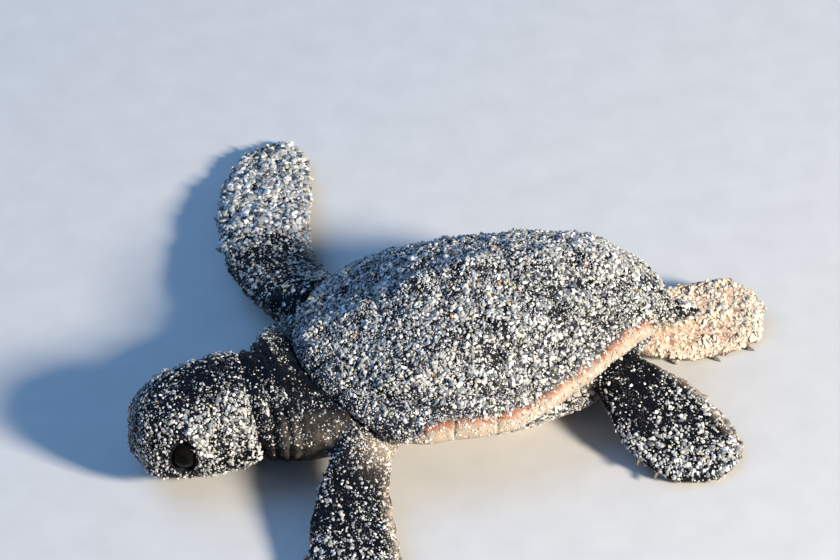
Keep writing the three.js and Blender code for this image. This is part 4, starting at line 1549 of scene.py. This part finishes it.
@dataclass
class Claw:
    """A small curved claw on the leading edge of a flipper."""

    datum: Datum
    limb: Limb
    number: int
    length: float = 1.0
    radius: float = 0.34
    sides: int = 14
    rings: int = 12
    hook: float = 0.16  # how far the tip bends over

    def build(self) -> Object:
        """Builds the claw.

        Returns:
            The piece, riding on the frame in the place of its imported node.
        """
        share = self.limb.claws[self.number]
        point, tangent = Path(self.limb.points).at(share)
        leading = self.limb.leading(share, tangent)
        way = unit(leading + tangent * 0.7)
        reach = float(self.limb.chord(share)) / 2 + float(self.limb.sweep(share)) + 0.1
        centre = point + leading * reach
        bend = unit(tangent - way * tangent.dot(way))
        third = np.cross(way, bend)
        t = np.linspace(0, 1, self.rings)[:, None]
        angle = round_about(self.sides)
        girth = self.radius * np.sqrt(np.clip(1 - t**1.6, 0, 1)) * (1 - 0.35 * t) * smoothstep(-0.12, 0.1, t)
        line = centre + way * (t - 0.5)[..., None] * self.length + bend * (self.hook * t**2)[..., None]
        ring = np.cos(angle)[..., None] * bend * 0.85 + np.sin(angle)[..., None] * third
        points = line + ring * girth[..., None]
        points[..., 2] = np.maximum(points[..., 2], 0.02)
        mesh = mesh_from(self.datum.metres(points.reshape(-1, 3)), bar_faces(self.rings, self.sides))
        name = f"{self.limb.name}_claw_{self.number + 1}"
        return settle(object_of(f"{name}_horn", mesh), (name,))


# ------------------------ sand


def random_grain(rng: np.random.Generator, flat: float, long: float, rough: float) -> Mesh:
    """Makes one angular grain, about 1 across, of twenty faces.

    Args:
        rng: the source of its chances.
        flat: its thickness as a share of its width.
        long: its length as a share of its width.
        rough: how far its corners stray.

    Returns:
        The grain, with an attribute that lays it flat in its patch of the bake map.
    """
    work = bmesh.new()
    bmesh.ops.create_icosphere(work, subdivisions=1, radius=0.5)
    turn = Matrix.Rotation(rng.uniform(0, 3), 3, "X") @ Matrix.Rotation(rng.uniform(0, 3), 3, "Y")
    for vertex in work.verts:
        place = turn @ vertex.co
        stray = 1 + rough * rng.uniform(-1, 1)
        vertex.co = Vector((place.x * long, place.y, place.z * flat)) * stray
    mesh = mesh_of(work, "grain")
    patch = mesh.attributes.new("patch", "FLOAT_VECTOR", "POINT")
    flat_places = coordinates(mesh) * np.array([1.0, 1.0, 0.0])
    patch.data.foreach_set("vector", flat_places.astype(np.float32).ravel())
    return mesh


SHELF_SEED = 41
COPIES = 2  # grains of each shape
GRAIN_FACES = 20
PATCH_SHARE = 0.003  # how much of the bake map's width one grain's patch takes


class GrainShape(Enum):
    """The shapes that the sand's grains come in: thickness, length and roughness."""

    BLOCK = (0.8, 1.0, 0.3)
    CHIP = (0.46, 1.2, 0.34)
    CRUMB = (0.86, 0.94, 0.26)
    SPLINTER = (0.5, 1.6, 0.3)
    FLAKE = (0.32, 1.25, 0.34)
    LUMP = (0.7, 1.3, 0.28)


def grain_shelf() -> bpy.types.Collection:
    """Makes a few grains of each shape and keeps them in a collection outside the scene."""
    shelf = bpy.data.collections.new("grains")
    rng = np.random.default_rng(SHELF_SEED)
    for shape in GrainShape:
        for copy in range(COPIES):
            mesh = random_grain(rng, *shape.value)
            shelf.objects.link(bpy.data.objects.new(f"grain_{shape.name.lower()}_{copy}", mesh))
    return shelf


class GrainTree(Graph):
    """A node tree that scatters grains over a surface, lays them down and makes them one mesh."""

    INPUTS = (
        ("Geometry", "NodeSocketGeometry", None),
        ("Spacing", "NodeSocketFloat", 0.0003),
        ("Most", "NodeSocketFloat", 5e7),
        ("Size", "NodeSocketFloat", 0.00042),
        ("Tilt", "NodeSocketFloat", 0.7),
        ("Sink", "NodeSocketFloat", 0.12),
        ("Seed", "NodeSocketInt", 1),
    )

    def __init__(self, shelf: bpy.types.Collection, material: Material) -> None:
        """Builds the tree for grains from this shelf, in this material."""
        super().__init__(bpy.data.node_groups.new("scattered_grains", "GeometryNodeTree"))
        self.ids: dict[str, str] = {}
        for name, kind, default in self.INPUTS:
            socket = self.tree.interface.new_socket(name, in_out="INPUT", socket_type=kind)
            if default is not None:
                socket.default_value = default
            self.ids[name] = socket.identifier
        self.tree.interface.new_socket("Geometry", in_out="OUTPUT", socket_type="NodeSocketGeometry")
        self.enter = self.tree.nodes.new("NodeGroupInput")
        self.wire(shelf, material)

    def named(self, name: str, kind: str = "FLOAT") -> Socket:
        """Returns a named number or vector of the surface."""
        node = self.add("GeometryNodeInputNamedAttribute", {"Name": name}, data_type=kind)
        return node.outputs["Attribute"]

    def chance(self, low: object, high: object, salt: int) -> Socket:
        """Returns a random number for each grain; the salt keeps two draws apart."""
        seed = self.plus(self.enter.outputs["Seed"], salt * 17.0)
        inputs = {"Seed": seed, 2: low, 3: high}
        return self.add("FunctionNodeRandomValue", inputs, data_type="FLOAT").outputs[1]

    def kept(self, geometry: Socket, name: str, value: Socket) -> Socket:
        """Returns the geometry with a number for each point kept under a name."""
        inputs = {"Geometry": geometry, "Name": name, "Value": value}
        node = self.add("GeometryNodeStoreNamedAttribute", inputs, data_type="FLOAT", domain="POINT")
        return node.outputs[0]

    def vectors(self, operation: str, inputs: dict[object, object]) -> Socket:
        """Returns a vector made by an operation on others."""
        return self.add("ShaderNodeVectorMath", inputs, operation=operation).outputs[0]

    def wire(self, shelf: bpy.types.Collection, material: Material) -> None:
        """Wires the nodes from the surface to the finished grains."""
        enter = self.enter.outputs
        scatter = self.add(
            "GeometryNodeDistributePointsOnFaces",
            {
                "Mesh": enter["Geometry"],
                "Distance Min": enter["Spacing"],
                "Density Max": enter["Most"],
                "Density Factor": self.named("sand"),
                "Seed": enter["Seed"],
            },
            distribute_method="POISSON",
        )
        draw = self.maths("POWER", self.chance(0.0, 1.0, 1), 2.4)
        spread = self.maths("MULTIPLY_ADD", draw, 1.3, 0.55)
        size = self.times(self.times(enter["Size"], self.named("coarse")), spread)
        sized = self.kept(scatter.outputs["Points"], "size", size)
        tinted = self.kept(sized, "tint", self.chance(0.0, 1.0, 2))
        lift = self.minus(self.plus(self.chance(-0.1, 0.24, 3), self.named("heap")), enter["Sink"])
        rise = self.times(lift, self.named("size"))
        offset = self.vectors("SCALE", {0: scatter.outputs["Normal"], "Scale": rise})
        lifted = self.add("GeometryNodeSetPosition", {"Geometry": tinted, "Offset": offset})
        low = self.times(enter["Tilt"], -1.0)
        tip_x, tip_y = self.chance(low, enter["Tilt"], 4), self.chance(low, enter["Tilt"], 5)
        spin = self.chance(0.0, 2 * math.pi, 6)
        euler = self.add("ShaderNodeCombineXYZ", {"X": tip_x, "Y": tip_y, "Z": spin})
        turn = self.add("FunctionNodeEulerToRotation", {0: euler.outputs[0]})
        laid = self.add(
            "FunctionNodeRotateRotation",
            {"Rotation": scatter.outputs["Rotation"], "Rotate By": turn.outputs[0]},
            rotation_space="LOCAL",
        )
        grains = self.add(
            "GeometryNodeCollectionInfo",
            {"Collection": shelf, "Separate Children": True, "Reset Children": True},
        )
        which = self.maths("FLOOR", self.chance(0.0, COPIES * len(GrainShape) - 0.001, 7))
        placed = self.add(
            "GeometryNodeInstanceOnPoints",
            {
                "Points": lifted.outputs[0],
                "Instance": grains.outputs[0],
                "Pick Instance": True,
                "Instance Index": which,
                "Rotation": laid.outputs[0],
                "Scale": self.named("size"),
            },
        )
        real = self.add("GeometryNodeRealizeInstances", {"Geometry": placed.outputs[0]})
        patch = self.vectors("SCALE", {0: self.named("patch", "FLOAT_VECTOR"), "Scale": PATCH_SHARE})
        spot = self.vectors("ADD", {0: self.named("root", "FLOAT_VECTOR"), 1: patch})
        mapped = self.add(
            "GeometryNodeStoreNamedAttribute",
            {"Geometry": real.outputs[0], "Name": "OFBake", "Value": spot},
            data_type="FLOAT2",
            domain="CORNER",
        )
        dressed = self.add("GeometryNodeSetMaterial", {"Geometry": mapped.outputs[0], "Material": material})
        leave = self.tree.nodes.new("NodeGroupOutput")
        self.tree.links.new(dressed.outputs[0], leave.inputs[0])


@dataclass(frozen=True)
class SandFinish:
    """Grains of quartz and shell: mostly white, cream and grey, with a few dark or coloured ones."""

    stops: tuple[tuple[float, Colour], ...] = (
        (0.0, (0.56, 0.55, 0.52, 1)),
        (0.20, (0.42, 0.415, 0.395, 1)),
        (0.44, (0.31, 0.31, 0.30, 1)),
        (0.62, (0.19, 0.195, 0.20, 1)),
        (0.72, (0.80, 0.79, 0.76, 1)),
        (0.84, (0.62, 0.57, 0.47, 1)),
        (0.91, (0.07, 0.073, 0.08, 1)),
        (0.982, (0.50, 0.46, 0.24, 1)),
        (0.990, (0.50, 0.26, 0.12, 1)),
        (0.995, (0.28, 0.31, 0.17, 1)),
    )
    cream: Colour = (0.66, 0.55, 0.41, 1)

    def material(self) -> Material:
        """Builds the sand's material."""
        n = Nodes("beach_sand")
        colour = n.ramp(n.attribute("tint"), *self.stops)
        colour.node.color_ramp.interpolation = "CONSTANT"
        shade = n.ramp(n.noise(5200.0, 3.0), (0.3, (0.45, 0.45, 0.45, 1)), (0.7, (1, 1, 1, 1)))
        mottled = n.mix(0.35, colour, shade, "MULTIPLY")
        warm = n.mix(n.attribute("warm"), mottled, self.cream)
        rough = n.wear(9000.0, 2.0, 0.28, 0.6)
        n.surface(warm, rough, n.bump(n.noise(16000.0, 2.0), 0.00002, 0.5), Specular_IOR_Level=0.55)
        return n.material


# What a coat inherits from its surface and doesn't need once its grains lie.
SCRATCH_LAYERS = "patch root size sand coarse heap pale sole horn crack dust out below lip".split()


class Grade(Enum):
    """How large common grains are and how far apart their middles lie at least, in millimetres."""

    SKIN = (0.36, 0.185)
    HEAD = (0.33, 0.14)
    SHELL = (0.31, 0.16)
    BELLY = (0.36, 0.19)


@dataclass
class SandCoat:
    """One region's coat of sand grains on the surface that it clings to."""

    name: str
    surface: Mesh
    sand: Array  # how thick the grains lie at each vertex, from 0 to 1
    coarse: Array  # their size at each vertex, as a share of the common size
    warm: Array  # how cream they are at each vertex
    heap: Array  # how far they stand on each other at each vertex, in grains
    grade: Grade
    seed: int

    def build(self, tree: GrainTree) -> Object:
        """Scatters the grains.

        Args:
            tree: the node tree that scatters, lays and joins them.

        Returns:
            The coat as one plain mesh, riding on the frame.
        """
        host = self.surface.copy()
        layers = {"sand": self.sand, "coarse": self.coarse, "warm": self.warm, "heap": self.heap}
        for name, values in layers.items():
            store(host, name, values)
        helper = object_of(f"{self.name}_host", host)
        scatter = helper.modifiers.new("grains", "NODES")
        scatter.node_group = tree.tree
        size, spacing = self.grade.value
        scatter[tree.ids["Spacing"]] = spacing * MM
        scatter[tree.ids["Size"]] = size * MM
        scatter[tree.ids["Seed"]] = self.seed
        mesh = evaluated_mesh(helper)
        discard(helper)
        for name in [layer.name for layer in mesh.attributes if layer.name in SCRATCH_LAYERS]:
            mesh.attributes.remove(mesh.attributes[name])
        smooth_shaded(mesh, False)
        points = coordinates(mesh)
        points[:, 2] = np.maximum(points[:, 2], 0.0)
        move_to(mesh, points)
        made = object_of(self.name, mesh)
        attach(made, BODY)
        LOG.info("%s: %d grains", made.name, len(mesh.polygons) // GRAIN_FACES)
        return made


def unwrapped(mesh: Mesh) -> None:
    """Writes each vertex's place on an unwrap of the mesh's own shape into its root attribute."""
    helper = object_of("unwrapping", mesh)
    bpy.context.view_layer.objects.active = helper
    bpy.ops.object.select_all(action="DESELECT")
    helper.select_set(True)
    bpy.ops.object.mode_set(mode="EDIT")
    bpy.ops.mesh.select_all(action="SELECT")
    bpy.ops.uv.smart_project(angle_limit=math.radians(66), island_margin=0.003)
    bpy.ops.object.mode_set(mode="OBJECT")
    corners = np.empty(len(mesh.loops) * 2, np.float32)
    mesh.uv_layers.active.uv.foreach_get("vector", corners)
    flat = np.zeros((len(mesh.loops), 3), np.float32)
    flat[:, :2] = corners.reshape(-1, 2)
    layer = mesh.attributes.new("root", "FLOAT_VECTOR", "CORNER")
    layer.data.foreach_set("vector", flat.ravel())
    mesh.uv_layers.remove(mesh.uv_layers.active)
    bpy.data.objects.remove(helper)


# Where sand lies on the skin, and how thick, coarse, heaped and cream it is there.
Lie = tuple[Array, Array | float, Array | float, Array | float, Array | float]


@dataclass
class Sanding:
    """Lays a coat of sand on each region, as thick and as coarse as it clings there."""

    datum: Datum
    skin: Skin
    tree: GrainTree

    def build(self, plates: Sequence[Object], shield: Plastron, plastron: Object) -> None:
        """Lays the coats.

        Args:
            plates: the finished plates of the carapace.
            shield: the form of the belly's shield.
            plastron: the finished shield.
        """
        self.on_skin()
        self.on_shell(plates)
        self.on_belly(shield, plastron)

    @staticmethod
    def patches(points: Array, cell: float, low: float, high: float) -> Array:
        """Returns an uneven cover that is 0 in bare patches and 1 in full ones."""
        return smoothstep(low, high, fine_noise(points, cell, 3))

    def on_skin(self) -> None:
        """Lays the coats of the head, neck, flippers and tail."""
        skin = self.skin
        surface = skin.form.copy()
        unwrapped(surface)
        x, y, z = skin.places.T
        fine = self.patches(skin.places, 2.6, -0.35, 0.25)
        broad = self.patches(skin.places, 6.0, -0.5, 0.3)
        upper = smoothstep(-0.5, 0.2, skin.normals[:, 2])
        tail = (skin.within(Region.TAIL), 0.75, 1.0, 0.0, 0.0)
        limbs = [self.on_limb(*pair, fine, upper) for pair in zip(LIMB_REGIONS, LIMBS)]
        layers = np.zeros((4, len(x)))
        for where, *values in (self.on_head(fine, upper), self.on_neck(fine), tail, *limbs):
            for layer, value in zip(layers, values):
                layer[where] = np.broadcast_to(value, len(x))[where]
        cover, coarse, heap, warm = layers
        pit = bell(np.hypot(np.abs(x) - 15.6, y + 16.2), 2.6) * (z < 8.5)
        cover = np.maximum(cover, 0.95 * np.minimum(1.6 * pit, 1))
        warm = np.maximum(warm, 0.6 * pit)
        socket = smoothstep(1.02, 1.14, skin.lid_oval)
        cover = np.clip(cover * (0.6 + 0.4 * broad) * 1.15, 0, 1) * socket * (z > 0.35)
        buried = (SHELL.outwards(x, y) < 0.6) & (np.abs(y) < 19)
        cover = np.where(buried, 0.0, cover)
        for number, region in enumerate(Region):
            name = f"sand_{region.name.lower()}"
            here = cover * skin.within(region)
            grade = Grade.HEAD if region in (Region.HEAD, Region.NECK) else Grade.SKIN
            SandCoat(name, surface, here, coarse, warm, heap, grade, seed=10 + number).build(self.tree)

    def on_head(self, fine: Array, upper: Array) -> Lie:
        """Returns how sand lies on the head: thickest on the snout and the cheeks."""
        across, along, _ = HEAD.local(self.skin.places).T
        side = smoothstep(2.6, 4.4, np.abs(across))
        rear, snout = smoothstep(-6.5, -1.5, along), smoothstep(-4.0, -7.0, along)
        thick = np.maximum(0.38 + 0.37 * side - 0.1 * (1 - side) * rear, 0.86 * snout)
        thick = thick * (0.55 + 0.45 * fine) * (0.3 + 0.7 * upper)
        coarse = 0.72 + 0.2 * side * rear - 0.1 * snout
        return self.skin.within(Region.HEAD), thick, coarse, 0.6 * fine * side, 0.0

    def on_neck(self, fine: Array) -> Lie:
        """Returns how sand lies on the neck and the trunk: thickest in the pockets behind the flippers."""
        skin = self.skin
        x, y, _ = skin.places.T
        level = skin.normals[:, 2]
        behind = skin.within(Region.HEAD) & (smoothstep(-28.9, -28.4, skin.down_neck(skin.places)) > 0.5)
        flank = bell(y + 26.6, 2.0) * smoothstep(6.0, 9.0, x)
        facing = smoothstep(-0.2 - 0.2 * flank, 0.35, level)
        cheek = smoothstep(4.5, 7.5, np.abs(x - 4.8))
        thick = (0.15 + 0.32 * cheek + 0.56 * flank) * (0.3 + 0.7 * fine) * facing
        thick[skin.within(Region.TRUNK) & (y > -5) & (np.abs(level) < 0.75)] = 1.0
        return skin.within(Region.NECK, Region.TRUNK) | behind, thick, 0.6, 0.0, 0.0

    def on_limb(self, region: Region, limb: Limb, fine: Array, upper: Array) -> Lie:
        """Returns how sand lies on a flipper: each its own way, and coarsest at the tip."""
        share = self.skin.reach[region]
        lead = self.skin.lead_of(limb, self.skin.places, share)
        tip = smoothstep(0.42, 0.6, share)
        cream = 0.0
        if region is Region.FRONT_RIGHT:
            thick, coarse, heap = 0.56 + 0.7 * tip, 0.8 + 0.56 * tip, 0.5 * tip
        elif region is Region.FRONT_LEFT:
            trail = smoothstep(-0.5, -0.85, lead)
            thick, coarse, heap = np.maximum(0.54 + 0.1 * tip, trail), 0.74 + 0.15 * tip, 0.3 * tip
            cream = 0.3 * trail
        elif region is Region.HIND_LEFT:
            border = smoothstep(0.4, 0.9, np.abs(lead)) * smoothstep(0.2, 0.45, share)
            thick = np.maximum(0.28 + 0.54 * smoothstep(0.5, 0.85, share), 0.9 * border)
            coarse, heap = 0.74 + 0.16 * tip, 0.4 * tip
        else:
            bare = 0.6 * smoothstep(0.45, 0.75, lead) * smoothstep(0.75, 0.5, share)
            thick, coarse, heap = (0.74 + 0.2 * tip) * (1 - bare), 0.82 + 0.3 * tip, 0.4 * tip
            cream = 0.75
        thick = thick * (0.4 + 0.6 * fine) * (0.35 + 0.65 * upper)
        return self.skin.within(region), thick, coarse, heap * fine, cream

    def on_shell(self, plates: Sequence[Object]) -> None:
        """Lays the coats of the carapace: along its middle, on each side and on its edge."""
        groups = {
            "sand_shell_middle": ("vertebral",),
            "sand_shell_left": ("costal_left",),
            "sand_shell_right": ("costal_right",),
            "sand_shell_edge": ("marginals", "nuchal"),
        }
        for number, (name, words) in enumerate(groups.items()):
            surface = joined([p.data.copy() for p in plates if any(word in p.name for word in words)])
            unwrapped(surface)
            points, facing = self.datum.read(surface), directions(surface)[:, 2]
            x, y, z = points.T
            out, below = SHELL.outwards(x, y), SHELL.top(x, y) - z
            upper = smoothstep(0.0, 0.35, facing) * smoothstep(1.2, 0.7, below)
            fine = self.patches(points, 2.0, -0.55, 0.1)
            cover = (0.55 + 0.45 * fine) * 0.86 * upper
            heap = 0.55 * self.patches(points, 3.2, -0.2, 0.5)
            coarse = 0.86 + 0.28 * self.patches(points, 4.0, -0.3, 0.5)
            warm = np.zeros(len(points))
            if "edge" in name:
                clean = 1 - SHELL.crusted(y)
                line = smoothstep(0.925, 0.955, out)
                face = np.maximum(smoothstep(0.97, 0.99, out), smoothstep(0.3, 0.7, below))
                bare = 0.36 * line * (1 - face) * clean
                side = smoothstep(-0.75, -0.3, facing) * smoothstep(0.9, 0.94, out)
                cover = np.maximum(cover * (1 - bare), 0.85 * face * (0.4 + 0.6 * fine) * side)
                coarse = coarse * (1 - 0.28 * line)
                heap = heap * (1 - line * clean)
                warm = 0.44 * face * clean
            coat = SandCoat(name, surface, cover, coarse, warm, heap, Grade.SHELL, seed=30 + number)
            coat.build(self.tree)
            bpy.data.meshes.remove(surface)

    def on_belly(self, shield: Plastron, plastron: Object) -> None:
        """Lays a thin coat on the turned-up edges of the belly's shield."""
        surface = plastron.data.copy()
        unwrapped(surface)
        points, facing = self.datum.read(surface), directions(surface)[:, 2]
        _, y, z = points.T
        out = shield.outwards(points)
        packed = bell(y - 7.0, 6.0) * smoothstep(0.5, 0.8, facing) * smoothstep(0.68, 0.75, out)
        outer = np.maximum(smoothstep(0.5, 0.2, facing), smoothstep(0.9, 0.94, out))
        side = smoothstep(0.7, 2.2, z) * outer
        cover = np.maximum(side * (0.5 + 0.5 * self.patches(points, 2.5, -0.4, 0.3)), packed)
        coarse = 0.8 + 0.7 * packed
        warm = np.full(len(points), 0.12)
        coat = SandCoat("sand_belly", surface, cover, coarse, warm, packed, Grade.BELLY, seed=50)
        coat.build(self.tree)


# ------------------------ the whole model


def main() -> None:
    """Builds the studio and every piece."""
    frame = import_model()
    datum = Datum.of_frame()
    Studio(datum).build()
    skin = Skin(datum)
    hide = skin.build(frame["nodes"])
    hide.data.materials.append(HideFinish().material())
    settle(hide, [name for region in Region for name in region.value])
    plates = Carapace(datum).build()
    scute, rim = ScuteFinish().material(), RimFinish().material()
    for plate in plates:
        plate.data.materials.append(rim if "marginals" in plate.name else scute)
    shield = Plastron(datum)
    plastron = shield.build()
    plastron.data.materials.append(PlastronFinish().material())
    wet, horn = EyeFinish().material(), ClawFinish().material()
    for side in Side:
        Eye(datum, side).build().data.materials.append(wet)
    for limb in LIMBS:
        for number in range(len(limb.claws)):
            Claw(datum, limb, number).build().data.materials.append(horn)
    tree = GrainTree(grain_shelf(), SandFinish().material())
    Sanding(datum, skin, tree).build(plates, shield, plastron)


if __name__ == "__main__":
    main()
